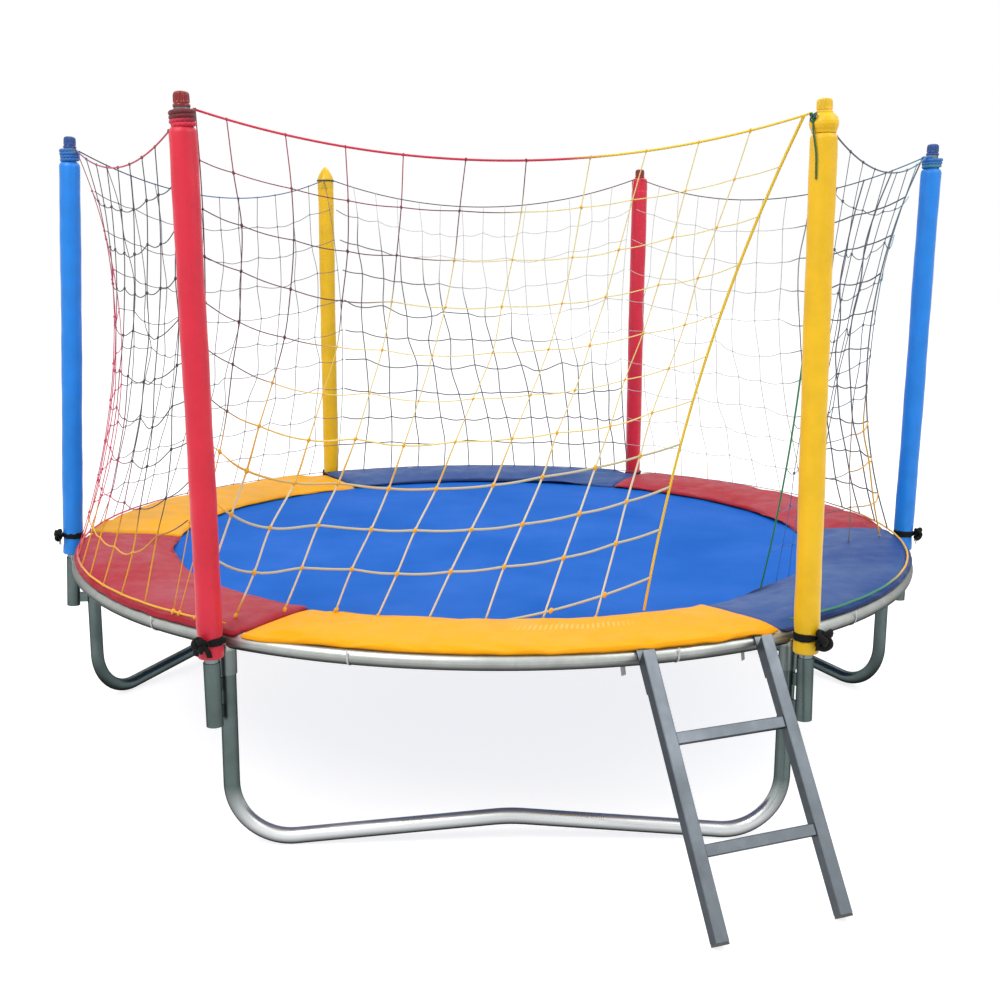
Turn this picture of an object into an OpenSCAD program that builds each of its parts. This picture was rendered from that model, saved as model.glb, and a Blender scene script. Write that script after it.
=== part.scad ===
// Round garden trampoline with edge pads, safety net and a hook-on ladder.
// Millimetres, +Z up. The origin is the middle of the mat's top face.
// The front leg faces -Y, and the ladder hangs on the rim to the right of it.

/* [Rim] */
// Diameter of the rim, along the middle of its tube
rim_d = 2440; // [2200:10:2800]
// Height of the middle of the rim's tube above the floor
rim_height = 500; // [420:5:650]
// Outside diameter of the rim's tube
rim_tube_d = 38; // [34:0.5:44]
// Wall of the rim's tube
rim_wall = 1.5; // [1:0.1:2.5]
// Length of the spigot that plugs into the next segment
spigot_len = 52; // [30:1:65]
// Gap all round between tubes that plug together
fit_gap = 0.3; // [0.2:0.05:0.5]

/* [Legs] */
// Outside diameter of the leg's tube
leg_tube_d = 38; // [34:0.5:42]
// Wall of the leg's tube
leg_wall = 1.5; // [1:0.1:2.5]
// Angle at the trampoline's middle between a leg's middle and its upright
leg_half_span = 32; // [31:0.5:33]
// Radius of the bend at a leg's foot
leg_bend_r = 135; // [100:1:180]
// Slope of the foot's tube up to the middle, in degrees
leg_slope = 4.9; // [3:0.1:7]
// Radius of the shallow bend in the middle of a leg
leg_apex_r = 400; // [200:10:700]
// Length of the leg socket below the rim's tube
socket_len = 61; // [45:1:85]
// Wall of the leg socket
socket_wall = 2.2; // [1.6:0.1:3]

/* [Net poles] */
// Outside diameter of a pole
pole_d = 33.5; // [28:0.5:38]
// Wall of a pole
pole_wall = 1.5; // [1:0.1:2.5]
// Height of a pole's top above the middle of the rim's tube
pole_height = 1157; // [1000:1:1400]
// Depth of the pole holder's bottom below the middle of the rim's tube
holder_drop = 190; // [175:1:260]
// Length of the pole holder
holder_len = 150; // [120:1:155]
// Wall of the pole holder
holder_wall = 2; // [1.5:0.1:3]
// Thickness of the plates that join the holder to the leg
tab_t = 5; // [3:0.5:8]
// Height of those plates
tab_h = 30; // [20:1:32]
// Outside diameter of the foam sleeve
foam_d = 58; // [50:1:75]
// Depth of the sleeve's lower end below the middle of the rim's tube
foam_drop = 28; // [20:1:38]
// Lean of each pole towards +X in its holder, in degrees, in the order of the sides
pole_lean = [0.6, 0, 0, 2.8, -0.8, -1];
// Length of bare pole above the sleeve, for the lashing
lashing_h = 37; // [20:1:60]
// Diameter of the lashing rope
lashing_rope_d = 9; // [6:0.5:12]
// Height of a pole cap
cap_h = 33; // [25:1:50]
// Outside diameter of a pole cap
cap_d = 36; // [34:0.5:44]
// Width of the strap that ties a sleeve to the rim
strap_w = 28; // [20:1:36]
// Thickness of that strap
strap_t = 2.4; // [1.5:0.1:3]

/* [Mat] */
// Diameter of the mat
mat_d = 2056; // [1800:2:2080]
// Thickness of the mat's cloth
mat_t = 2; // [1:0.1:4]
// Width of the webbing border under the mat's edge
border_w = 45; // [25:1:70]
// Thickness of the webbing
border_t = 2; // [1:0.1:4]
// Width of the webbing loop that holds a ring
loop_w = 24; // [16:1:26]
// Width of a ring along the mat's edge
ring_w = 36; // [34:1:44]
// Length of a ring, away from the mat
ring_len = 31; // [26:1:40]
// Thickness of a ring's bar
ring_bar = 3.6; // [3:0.1:4.2]

/* [Springs] */
// Outside diameter of a spring's coil
coil_d = 22; // [20:0.5:26]
// Radial thickness of the coil
coil_wall = 3.8; // [3.7:0.1:4.2]
// Diameter of the hook's wire
wire_d = 3.4; // [2.6:0.1:3.5]
// Length of straight wire between the coil and a hook
hook_shank = 12; // [8:0.5:20]

/* [Pads] */
// Thickness of an edge pad
pad_t = 14; // [10:1:30]
// How far a pad reaches in over the mat
pad_lap = 73; // [40:1:120]
// Width of an elastic tie under the rim
tie_w = 10; // [6:0.5:16]

/* [Net] */
// Width of a net strand
strand_w = 5; // [3:0.5:6]
// Diameter of the head and foot ropes
rope_d = 8; // [6:0.5:10]
// Diameter of the ropes beside the entry gap
edge_rope_d = 9; // [6:0.5:12]
// Sag of the head rope between two poles
head_sag = 100; // [60:1:150]
// How far the net hangs in at half height, beside a pole
pull_pole = 110; // [60:1:140]
// How far it hangs in at half height, midway between poles
pull_mid = 52; // [20:1:90]

/* [Ladder] */
// Distance between the middles of the stiles
ladder_w = 300; // [280:1:310]
// Slope of the ladder from upright, in degrees
ladder_tilt = 33; // [28:0.5:36]
// Angle at the trampoline's middle from the ladder to the rim's joint beside it
ladder_from_joint = 10.05; // [9.8:0.05:10.4]
// Side of a stile's square tube
stile_w = 30; // [24:0.5:34]
// Wall of the stiles and rungs
ladder_wall = 1.5; // [1:0.1:2.5]
// Height of a rung
rung_h = 26; // [20:0.5:32]
// Depth of a rung
rung_depth = 20; // [14:0.5:24]
// Upper rung's middle, along the stile from the rim
rung_upper = 195; // [150:1:230]
// Lower rung's middle, along the stile from the rim
rung_lower = 429; // [380:1:470]
// Thickness of a hook's steel strap
hook_t = 4; // [3:0.5:5]
// Width of a hook
hook_w = 28; // [20:1:30]
// Gap between a hook and the rim's tube
hook_gap = 0.4; // [0.3:0.1:1]
// Length of a hook's shank down the stile
hook_len = 90; // [60:1:130]
// Length of a plastic foot
foot_len = 38; // [25:1:60]

/* [Hidden] */
$fn = 48;
sides = ["right", "back_right", "back_left", "left", "front_left", "front_right"];
spans = ["right_back", "back", "left_back", "left_front", "front", "right_front"];
front_span = 4;
right_front_span = 5;
springs_per_segment = 8;
segment_angle = 60;
butt_gap = 0.3;
soft_gap = 0.5;
lap = 2;
side_colours = ["RoyalBlue", "Crimson", "Gold", "RoyalBlue", "Crimson", "Gold"];
pad_colours = ["FireBrick", "MidnightBlue", "Goldenrod", "FireBrick", "Goldenrod", "MidnightBlue"];
net_colours = ["DimGray", "DimGray", "DimGray", "LightCoral", "Gold", "DarkSlateGray"];
steel = "Silver";

// Heights. The ring plane runs through the webbing, and the hooks set the rim's height to it.
rim_r = rim_d / 2;
tube_r = rim_tube_d / 2;
rim_bore = rim_tube_d - 2 * rim_wall;
mat_r = mat_d / 2;
ring_z = -mat_t - border_t / 2;
hook_r = (coil_d - coil_wall) / 2;
hole_r = tube_r - rim_wall / 2;
hole_tilt = 45;
rim_z = ring_z - (hole_r - hook_r) * sin(hole_tilt);
floor_z = rim_z - rim_height;

// Rings and springs, as distances from the middle
loop_wall = 1.6;
loop_in = mat_r + butt_gap;
ring_in = loop_in + loop_wall + fit_gap;
ring_out = ring_in + ring_len;
bar_seat = sqrt(pow(hook_r - wire_d / 2 - fit_gap, 2) - pow(ring_bar / 2, 2));
hook_in = ring_out + bar_seat - ring_bar;
hook_out = rim_r - (hole_r + hook_r) * cos(hole_tilt);
coil_in = hook_in + hook_shank;
coil_len = hook_out - hook_in - 2 * hook_shank;
hole_d = wire_d + 1.6;
rim_hook_turn = 130;
ring_apex_w = 13;
spring_pitch = segment_angle / springs_per_segment;

// Legs and poles
socket_bore = leg_tube_d + 2 * fit_gap;
socket_d = socket_bore + 2 * socket_wall;
socket_bottom = rim_z - tube_r - socket_len;
socket_end = rim_z - tube_r - 2;
socket_top = rim_z - tube_r / 4;
leg_top = socket_end - 1;
leg_y = rim_r * sin(leg_half_span);
bend_swell = 0.1;
bend_z = floor_z + leg_tube_d / 2 + bend_swell + leg_bend_r;
slope_len = (leg_y - leg_bend_r - (leg_bend_r + leg_apex_r) * sin(leg_slope)) / cos(leg_slope);
apex_z = bend_z - leg_bend_r * cos(leg_slope) + slope_len * sin(leg_slope) + leg_apex_r * (1 - cos(leg_slope));
holder_bore = pole_d + 2 * fit_gap;
holder_d = holder_bore + 2 * holder_wall;
holder_floor = 3;
holder_z = rim_z - holder_drop;
pole_out = max(rim_tube_d, socket_d) / 2 + 2 + foam_d / 2;
pole_r = rim_r + pole_out;
pole_z = holder_z + holder_floor;
pole_top = rim_z + pole_height;
pole_bore = pole_d - 2 * pole_wall;
foam_z = rim_z - foam_drop;
foam_top = pole_top - lashing_h;
lashing_pitch = lashing_rope_d + 0.2;
lashing_turns = floor(lashing_h / lashing_pitch);
lashing_r = pole_d / 2 + fit_gap + lashing_rope_d / 2;

// Pads, and the hem of the mat that shows inside them
hem_step = 0.2;
hem_show = 16;
seat_z = max(rim_z + tube_r, ring_z + coil_d / 2) + soft_gap;
pad_in = mat_r - pad_lap;
pad_out = rim_r + tube_r - 1;
pad_top = seat_z + pad_t;

// Ladder. Its own frame has X out through the ladder, Y along the rim and Z up the stiles.
ladder_angle = right_front_span * segment_angle - ladder_from_joint;
ladder_half_angle = asin(ladder_w / 2 / rim_r);
ladder_n = rim_r * cos(ladder_half_angle);
hook_in_r = tube_r + hook_gap + hook_w / 2 * tan(ladder_half_angle);
hook_out_r = hook_in_r + hook_t;
stile_x = hook_out_r + stile_w / 2;
mitre = 20;
foot_z = (floor_z - rim_z - hook_out_r * sin(ladder_tilt)) / cos(ladder_tilt);
foot_base = 6;
foot_gap = 0.3;

// Net
foot_rope_r = rim_r + 2;
foot_rope_z = pad_top + soft_gap / 2 + rope_d / 2;
tie_r = pole_r - lashing_r - lashing_rope_d / 2 - rope_d / 4;
tie_z = foam_top + (lashing_turns - 0.5) * lashing_pitch + 1;
entry_trim = 14;
net_rows = 10;
knot_gap = 0.15;
net_columns = [12, 14, 12, 9, 11, 9];
// Angles from the ladder to the feet of the ropes beside the entry, and the inward pull at those ropes
entry_turn = [0.1, 24];
entry_pull = [70, -35];
// Turn of the net's foot behind its head at the front left pole
foot_turn = 8;
// Line on which the net's foot is tucked in along the pads' inner edge
tuck_r = pad_in - edge_rope_d - soft_gap;

// Angle of pole i and of the upright beside it. Poles stand in pairs, one pair to a leg.
function side_angle(i) = segment_angle * i + (i % 2 == 0 ? -1 : 1) * (leg_half_span - 30);
function polar(r, a, z) = [r * cos(a), r * sin(a), z];
function lerp(a, b, t) = a + (b - a) * t;
function unit(v) = v / norm(v);

// A ring of cloth or tube wall, and the same bent along an arc in the XY plane
module ring2d(d, wall) {
    difference() {
        circle(d = d);
        circle(d = d - 2 * wall);
    }
}
module bend(r, d, angle) {
    rotate_extrude(angle = angle) translate([r, 0]) circle(d = d);
}
module bent_tube(r, d, wall, angle) {
    rotate_extrude(angle = angle) translate([r, 0]) ring2d(d, wall);
}
module tube(d, wall, h) {
    linear_extrude(height = h) ring2d(d, wall);
}
// A rectangle with its corners cut off
module chamfered(w, h, c) {
    polygon([
        [-w / 2 + c, -h / 2], [w / 2 - c, -h / 2], [w / 2, -h / 2 + c], [w / 2, h / 2 - c],
        [w / 2 - c, h / 2], [-w / 2 + c, h / 2], [-w / 2, h / 2 - c], [-w / 2, -h / 2 + c]
    ]);
}
module at_side(i, r, z) {
    rotate([0, 0, side_angle(i)]) translate([r, 0, z]) children();
}
// The same on the axis of pole i, which leans about the height of the rim
module on_pole(i, z) {
    translate(polar(pole_r, side_angle(i), rim_z)) rotate([0, pole_lean[i], 0]) rotate([0, 0, side_angle(i)])
        translate([0, 0, z - rim_z]) children();
}

// One sixth of the rim: a bent tube with spring holes, a leg socket, and a spigot for the next one
module rim_segment(i) {
    start = segment_angle * (i - 0.5);
    arc = segment_angle - butt_gap / rim_r * 180 / PI;
    swage = 12 / rim_r * 180 / PI;
    spigot_d = rim_bore - 2 * fit_gap;
    spigot_arc = spigot_len / rim_r * 180 / PI;
    color(steel) {
        difference() {
            union() {
                translate([0, 0, rim_z]) rotate([0, 0, start]) bend(rim_r, rim_tube_d, arc);
                at_side(i, rim_r, socket_bottom) cylinder(d = socket_d, h = socket_top - socket_bottom);
            }
            translate([0, 0, rim_z]) rotate([0, 0, start - 1]) bend(rim_r, rim_bore, arc + 2);
            at_side(i, rim_r, socket_bottom - 1) cylinder(d = socket_bore, h = socket_end - socket_bottom + 1);
            for (j = [0 : springs_per_segment - 1])
                rotate([0, 0, start + (j + 0.5) * spring_pitch]) translate([rim_r, 0, rim_z])
                    rotate([0, -hole_tilt, 0]) translate([0, 0, tube_r - 4]) cylinder(d = hole_d, h = 6);
        }
        translate([0, 0, rim_z]) rotate([0, 0, start + arc - 2 * swage])
            bent_tube(rim_r, rim_bore + rim_wall, 1.5 * rim_wall + fit_gap + 0.5, 1.5 * swage);
        translate([0, 0, rim_z]) rotate([0, 0, start + arc - swage])
            bent_tube(rim_r, spigot_d, rim_wall, swage + spigot_arc);
    }
}

// A W-shaped leg of bent tube in the plane of its two uprights, with a pole holder on each.
// The straight tubes run a little way into the bends, which are a hair thicker.
module leg_half() {
    translate([0, leg_y, bend_z - lap]) tube(leg_tube_d, leg_wall, leg_top - bend_z + lap);
    translate([0, leg_y - leg_bend_r, bend_z]) rotate([90, 0, 90]) rotate([0, 0, -90 - leg_slope]) {
        leg_bend(leg_bend_r, 90 + leg_slope);
        translate([leg_bend_r, lap, 0]) rotate([90, 0, 0]) tube(leg_tube_d, leg_wall, slope_len + 2 * lap);
    }
}
module leg_bend(r, angle) {
    bent_tube(r, leg_tube_d + 2 * bend_swell, leg_wall + 2 * bend_swell, angle);
}
module pole_holder() {
    difference() {
        cylinder(d = holder_d, h = holder_len);
        translate([0, 0, holder_floor]) cylinder(d = holder_bore, h = holder_len);
    }
}
module holder_tab(i, z) {
    difference() {
        at_side(i, rim_r, z) translate([0, -tab_t / 2, 0]) cube([pole_out, tab_t, tab_h]);
        at_side(i, rim_r, z - lap) cylinder(d = leg_tube_d - leg_wall, h = tab_h + 2 * lap);
        on_pole(i, z - lap) cylinder(d = holder_d - holder_wall, h = tab_h + 2 * lap);
    }
}
module leg(angle, pair) {
    color(steel) {
        rotate([0, 0, angle]) translate([rim_r * cos(leg_half_span), 0, 0]) {
            leg_half();
            mirror([0, 1, 0]) leg_half();
            translate([0, 0, apex_z - leg_apex_r]) rotate([90, 0, 90]) rotate([0, 0, 90 - leg_slope])
                leg_bend(leg_apex_r, 2 * leg_slope);
        }
        for (i = pair) {
            on_pole(i, holder_z) pole_holder();
            holder_tab(i, socket_bottom - 5 - tab_h);
            holder_tab(i, holder_z + 10);
        }
    }
}

// Net pole and what is on it
module pole(i) {
    color(steel) on_pole(i, pole_z) tube(pole_d, pole_wall, pole_top - pole_z);
}
module foam(i) {
    inner = pole_d + 2 * fit_gap;
    color(side_colours[i]) on_pole(i, foam_z) tube(foam_d, (foam_d - inner) / 2, foam_top - foam_z);
}
// A plug with ribs round it and a rounded top
module pole_cap() {
    rib = cap_h / 8;
    stem_r = pole_bore / 2 - fit_gap;
    rotate_extrude() polygon(concat(
        [[0, -cap_h], [stem_r - 1, -cap_h], [stem_r, 1 - cap_h], [stem_r, 0]],
        [for (k = [0 : 2]) each [
            [cap_d / 2, 2 * k * rib], [cap_d / 2, (2 * k + 1.3) * rib],
            [cap_d / 2 - 1.5, (2 * k + 1.5) * rib], [cap_d / 2 - 1.5, (2 * k + 1.9) * rib]
        ]],
        [[cap_d / 2, 6 * rib], [cap_d / 2 - 1, 7 * rib], [cap_d / 2 - 5, cap_h], [0, cap_h]]
    ));
}
module pole_caps(colour, which) {
    color(colour) for (i = which) on_pole(i, pole_top) pole_cap();
}
module pole_straps() {
    knot_r = strap_w * 0.55;
    inner_d = foam_d + 2 * fit_gap;
    color("Black") for (i = [0 : 5]) on_pole(i, rim_z + 1 + strap_w / 2) difference() {
        union() {
            translate([0, 0, -strap_w / 2]) cylinder(d = inner_d + 2 * strap_t, h = strap_w);
            translate([foam_d / 2 + knot_r / 3, 0, 0]) sphere(r = knot_r);
        }
        translate([0, 0, -strap_w]) cylinder(d = inner_d, h = 2 * strap_w);
    }
}
module pole_lashings() {
    color("Firebrick") for (i = [0 : 5], k = [0 : lashing_turns - 1])
        on_pole(i, foam_top + (k + 0.5) * lashing_pitch) bend(lashing_r, lashing_rope_d, 360);
}

// Jumping mat, the webbing sewn under its edge, and the rings in its loops.
// The mat's free face ends at a sewn step, and its hem runs out a hair lower under the pads.
module mat() {
    color("RoyalBlue") translate([0, 0, -mat_t]) {
        cylinder(r = mat_r, h = mat_t - hem_step);
        cylinder(r = pad_in - hem_show, h = mat_t);
    }
}
module mat_border() {
    hole_h = ring_bar + 2 * fit_gap;
    loop_len = 2 * loop_wall + hole_h;
    color("DimGray") {
        translate([0, 0, -mat_t - border_t]) rotate_extrude()
            translate([mat_r - border_w, 0]) square([border_w + butt_gap + loop_wall, border_t]);
        for (i = [0 : 5], j = [0 : springs_per_segment - 1])
            rotate([0, 0, i * segment_angle + (j + 0.5) * spring_pitch]) translate([loop_in, 0, ring_z]) difference() {
                translate([0, -loop_w / 2, -loop_len / 2]) cube([loop_len, loop_w, loop_len]);
                translate([loop_wall, -loop_w, -hole_h / 2]) cube([hole_h, 2 * loop_w, hole_h]);
            }
    }
}
module mat_ring() {
    bar_side = ring_bar * 1.06;
    taper = (ring_w - ring_apex_w) / 2 / ring_len;
    near_w = ring_w / 2 - taper * ring_bar - bar_side;
    far_w = ring_apex_w / 2 + taper * ring_bar - bar_side;
    linear_extrude(height = ring_bar) difference() {
        polygon([
            [ring_in, -ring_w / 2], [ring_out, -ring_apex_w / 2],
            [ring_out, ring_apex_w / 2], [ring_in, ring_w / 2]
        ]);
        polygon([
            [ring_in + ring_bar, -near_w], [ring_out - ring_bar, -far_w],
            [ring_out - ring_bar, far_w], [ring_in + ring_bar, near_w]
        ]);
    }
}
module mat_rings() {
    color(steel) for (i = [0 : 5], j = [0 : springs_per_segment - 1])
        rotate([0, 0, i * segment_angle + (j + 0.5) * spring_pitch])
            translate([0, 0, ring_z - ring_bar / 2]) mat_ring();
}

// A close-wound spring, drawn as the tube its coil fills, with a hook at each end
module spring() {
    translate([coil_in, 0, ring_z]) rotate([0, 90, 0]) tube(coil_d, coil_wall, coil_len);
    translate([hook_in, 0, ring_z]) spring_hook(180);
    translate([hook_out, 0, ring_z]) mirror([1, 0, 0]) spring_hook(rim_hook_turn);
}
module spring_hook(turn) {
    translate([0, 0, hook_r]) rotate([0, 90, 0]) cylinder(d = wire_d, h = hook_shank + lap);
    rotate([90, 0, 0]) rotate([0, 0, 90]) bend(hook_r, wire_d, turn);
}
module springs(i) {
    color(steel) for (j = [0 : springs_per_segment - 1])
        rotate([0, 0, i * segment_angle + (j + 0.5) * spring_pitch]) spring();
}

// Edge pad over the springs, with its inner edge down on the mat and its outer edge over the rim
module pad_profile() {
    edge = pad_t * 0.4;
    inner_z = soft_gap;
    polygon([
        [pad_in, inner_z], [coil_in - pad_t, seat_z], [rim_r + edge / 4, seat_z], [pad_out, seat_z - edge / 2],
        [pad_out, seat_z + pad_t / 2], [pad_out - edge / 2, pad_top - edge * 3 / 8], [pad_out - 1.5 * edge, pad_top],
        [coil_in - 1.5 * pad_t, pad_top], [pad_in + edge, inner_z + pad_t - edge / 8], [pad_in, inner_z + pad_t / 2]
    ]);
}
// Room in a pad for a ladder hook, at rest and as the ladder swings out
module hook_room(y) {
    r = hook_out_r + soft_gap;
    w = hook_w + 2 * soft_gap;
    at_ladder() translate([0, y, 0]) {
        rotate([90, 0, 0]) cylinder(r = r, h = w, center = true);
        translate([0, -w / 2, -r]) cube([rim_tube_d, w, 2 * r - soft_gap / 5]);
    }
}
module pad(i) {
    arc = segment_angle - butt_gap / pad_in * 180 / PI;
    color(pad_colours[i]) difference() {
        rotate([0, 0, i * segment_angle]) rotate_extrude(angle = arc) pad_profile();
        if (i == front_span || i == right_front_span) for (y = [-1, 1]) hook_room(y * ladder_w / 2);
    }
}
// Elastic loops under the rim, which hold the pads down
module pad_tie() {
    band = 1.2;
    inner = tube_r + fit_gap;
    rotate([90, 0, 0]) rotate([0, 0, 180]) rotate_extrude(angle = 180)
        translate([inner, -tie_w / 2]) square([band, tie_w]);
    translate([-inner - band, -tie_w / 2, 0]) cube([band, tie_w, seat_z - fit_gap - rim_z]);
    translate([inner, -tie_w / 2, 0]) cube([band, tie_w, seat_z - rim_z]);
}
module pad_ties() {
    color("Gainsboro") for (i = [0 : 5], a = [13, segment_angle - 13])
        rotate([0, 0, i * segment_angle + a]) translate([rim_r, 0, rim_z]) pad_tie();
}

// Net surface over span i: u runs along the span and v from the foot rope up to the head rope
function head_tie(i) = polar(tie_r, side_angle(i), tie_z) + [(tie_z - rim_z) * tan(pole_lean[i % 6]), 0, 0];
function head_half(i) = norm(head_tie(i + 1) - head_tie(i)) / 2;
function head_arc_r(i) = (pow(head_half(i), 2) + pow(head_sag, 2)) / 2 / head_sag;
function head_point(i, t) =
    let (x = (2 * t - 1) * head_half(i), r = head_arc_r(i))
    lerp(head_tie(i), head_tie(i + 1), t) + [0, 0, r - sqrt(r * r - x * x) - head_sag];
function head_start(i) = i == right_front_span ? entry_trim / 2 / head_half(i) : 0;
function head_end(i) = i == front_span ? 1 - entry_trim / 2 / head_half(i) : 1;
function foot_start(i) =
    i == right_front_span ? ladder_angle + entry_turn[1] : side_angle(i) - (i == front_span ? foot_turn : 0);
function foot_end(i) =
    i == front_span ? ladder_angle + entry_turn[0] : side_angle(i + 1) - (i + 1 == front_span ? foot_turn : 0);
function ease(x) = let (t = min(1, max(0, x))) t * t * (3 - 2 * t);
// The net's foot goes to the rim, except on both sides of the entry, where it is tucked in
function tuck(i, u) =
    i == front_span ? ease((u - 0.2) / 0.27) : i == right_front_span ? 1 - ease((u - 0.6) / 0.4) : 0;
function foot_point(i, u) =
    let (k = tuck(i, u), t = i == front_span ? pow(max(u, 0), 1.7) : u)
    polar(lerp(foot_rope_r, tuck_r, k), lerp(foot_start(i), foot_end(i), t), foot_rope_z * (1 - pow(k, 12)));
function net_pull(i, u) =
    let (
        beside = i == front_span || i == right_front_span,
        side = u < 0.5 ? (i == right_front_span ? entry_pull[1] : pull_pole)
            : (i == front_span ? entry_pull[0] : pull_pole)
    )
    lerp(beside ? pull_mid / 2 : pull_mid, side, pow(2 * u - 1, 2));
function net_point(i, u, v) =
    let (p = lerp(foot_point(i, u), head_point(i, lerp(head_start(i), head_end(i), u)), v))
    p - unit([p.x, p.y, 0]) * net_pull(i, u) * 4 * v * (1 - v);
function along_u(i, u, v) = unit(net_point(i, u + 0.01, v) - net_point(i, u - 0.01, v));
function along_v(i, u, v) = unit(net_point(i, u, v + 0.01) - net_point(i, u, v - 0.01));
function net_normal(i, u, v) = unit(cross(along_u(i, u, v), along_v(i, u, v)));
function net_height(i, u) = norm(net_point(i, u, 1) - net_point(i, u, 0));
function net_width(i, v) = norm(net_point(i, 1, v) - net_point(i, 0, v));

// Strands have three sides. Upright ones lie outside the surface and level ones inside it.
function strand_ring(p, across, out) =
    let (face = p + out * knot_gap)
    [face + across * strand_w / 2, face - across * strand_w / 2, face + out * strand_w * sin(60)];
function upright_ring(i, u, v) =
    strand_ring(net_point(i, u, v), along_u(i, u, v), net_normal(i, u, v));
function level_ring(i, u, v) =
    strand_ring(net_point(i, u, v), along_v(i, u, v), -net_normal(i, u, v));
function upright_stations(i, u) =
    let (end = (rope_d / 2 + fit_gap) / net_height(i, u))
    concat([end], [for (k = [1 : net_rows - 1]) k / net_rows], [1 - end]);
function level_stations(i, v) =
    let (
        n = net_columns[i],
        knot = butt_gap / net_width(i, v),
        rope = (edge_rope_d / 2 + fit_gap) / net_width(i, v),
        first = i == right_front_span ? rope : knot,
        last = i == front_span ? rope : knot
    )
    concat([first], [for (k = [1 : n - 1]) k / n], [1 - last]);

// Faces of a swept bar with closed ends: m sides and n rings, whose points start at number b
function swept_faces(b, m, n) = concat(
    [[for (k = [0 : m - 1]) b + k]],
    [for (j = [0 : n - 2], k = [0 : m - 1]) let (a = b + j * m + k, c = b + j * m + (k + 1) % m) each
        [[a, a + m, c], [c, a + m, c + m]]],
    [[for (k = [m - 1 : -1 : 0]) b + (n - 1) * m + k]]
);
module net(i) {
    n = net_columns[i];
    uprights = [for (k = [(i == right_front_span ? 1 : 0) : n - 1]) k / n];
    levels = [for (k = [1 : net_rows - 1]) k / net_rows];
    points = concat(
        [for (u = uprights, v = upright_stations(i, u)) each upright_ring(i, u, v)],
        [for (v = levels, u = level_stations(i, v)) each level_ring(i, u, v)]
    );
    upright_points = 3 * (net_rows + 1);
    level_points = 3 * (n + 1);
    faces = concat(
        [for (k = [0 : len(uprights) - 1]) each swept_faces(k * upright_points, 3, net_rows + 1)],
        [for (k = [0 : len(levels) - 1]) each
            swept_faces(len(uprights) * upright_points + k * level_points, 3, n + 1)]
    );
    color(net_colours[i]) polyhedron(points, faces);
}
// Head rope: a true arc in the upright plane through two pole tops
module head_rope(i) {
    r = head_arc_r(i);
    end_slope = asin(head_half(i) / r);
    trim = rope_d / 2 * (tan(segment_angle / 2) + tan(end_slope)) + butt_gap;
    half_angle = end_slope - trim / r * 180 / PI;
    middle = lerp(head_tie(i), head_tie(i + 1), 0.5);
    way = head_tie(i + 1) - head_tie(i);
    translate(middle) rotate([0, 0, atan2(way.y, way.x)]) translate([0, 0, r - head_sag])
        rotate([90, 0, 0]) rotate([0, 0, -90 - half_angle]) bend(r, rope_d, 2 * half_angle);
}
module net_head_ropes() {
    color("Crimson") for (i = [0 : 5]) head_rope(i);
}
module net_foot_rope() {
    start = side_angle(right_front_span);
    color("Gold") translate([0, 0, foot_rope_z]) rotate([0, 0, start])
        rotate_extrude(angle = side_angle(front_span) + 360 - start, $fn = 256)
            translate([foot_rope_r, 0]) circle(d = rope_d, $fn = 48);
}
// Rope down one side of the entry gap
module entry_rope(i, u, colour) {
    m = 8;
    foot_end = (rope_d / 2 + edge_rope_d / 4 + fit_gap) / net_height(i, u);
    head_end = (rope_d / 2 + edge_rope_d / 2 + fit_gap) / net_height(i, u);
    stations = [for (k = [0 : net_rows]) lerp(foot_end, 1 - head_end, k / net_rows)];
    points = [for (v = stations, k = [0 : m - 1])
        net_point(i, u, v) + edge_rope_d / 2 *
            (net_normal(i, u, v) * cos(360 * k / m) + along_u(i, u, v) * sin(360 * k / m))];
    color(colour) polyhedron(points, swept_faces(0, m, net_rows + 1));
}

// Ladder of square tube, hooked over the rim and standing on two plastic feet
module at_ladder() {
    rotate([0, 0, ladder_angle]) translate([ladder_n, 0, rim_z]) children();
}
module in_ladder_frame() {
    at_ladder() rotate([0, -ladder_tilt, 0]) children();
}
module hollow_bar(w, h, length) {
    linear_extrude(height = length) difference() {
        chamfered(w, h, 2);
        chamfered(w - 2 * ladder_wall, h - 2 * ladder_wall, 1);
    }
}
module ladder_stile(y) {
    bottom = foot_z + foot_base + foot_gap;
    color(steel) in_ladder_frame() difference() {
        translate([stile_x, y, bottom]) hollow_bar(stile_w, stile_w, -bottom);
        translate([hook_out_r, y - stile_w, -mitre]) rotate([0, -atan2(mitre, stile_w), 0])
            cube([2 * stile_w, 2 * stile_w, 2 * stile_w]);
    }
}
module ladder_rung(z) {
    length = ladder_w - stile_w;
    color(steel) in_ladder_frame() translate([stile_x, length / 2, -z])
        rotate([90, 0, 0]) hollow_bar(rung_depth, rung_h, length);
}
module ladder_hook(y) {
    color(steel) in_ladder_frame() translate([0, y, 0]) {
        rotate([90, 0, 0]) rotate_extrude(angle = 180) translate([hook_in_r, -hook_w / 2]) square([hook_t, hook_w]);
        translate([hook_in_r, -hook_w / 2, -hook_len]) cube([hook_t, hook_w, hook_len]);
    }
}
module ladder_feet() {
    stem = stile_w - 2 * ladder_wall - 2 * foot_gap;
    color("DimGray") in_ladder_frame() for (y = [-1, 1])
        translate([stile_x, y * ladder_w / 2, foot_z]) {
            linear_extrude(height = foot_base) chamfered(stile_w, stile_w, 3);
            linear_extrude(height = foot_len) chamfered(stem, stem, 2);
        }
}

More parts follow.
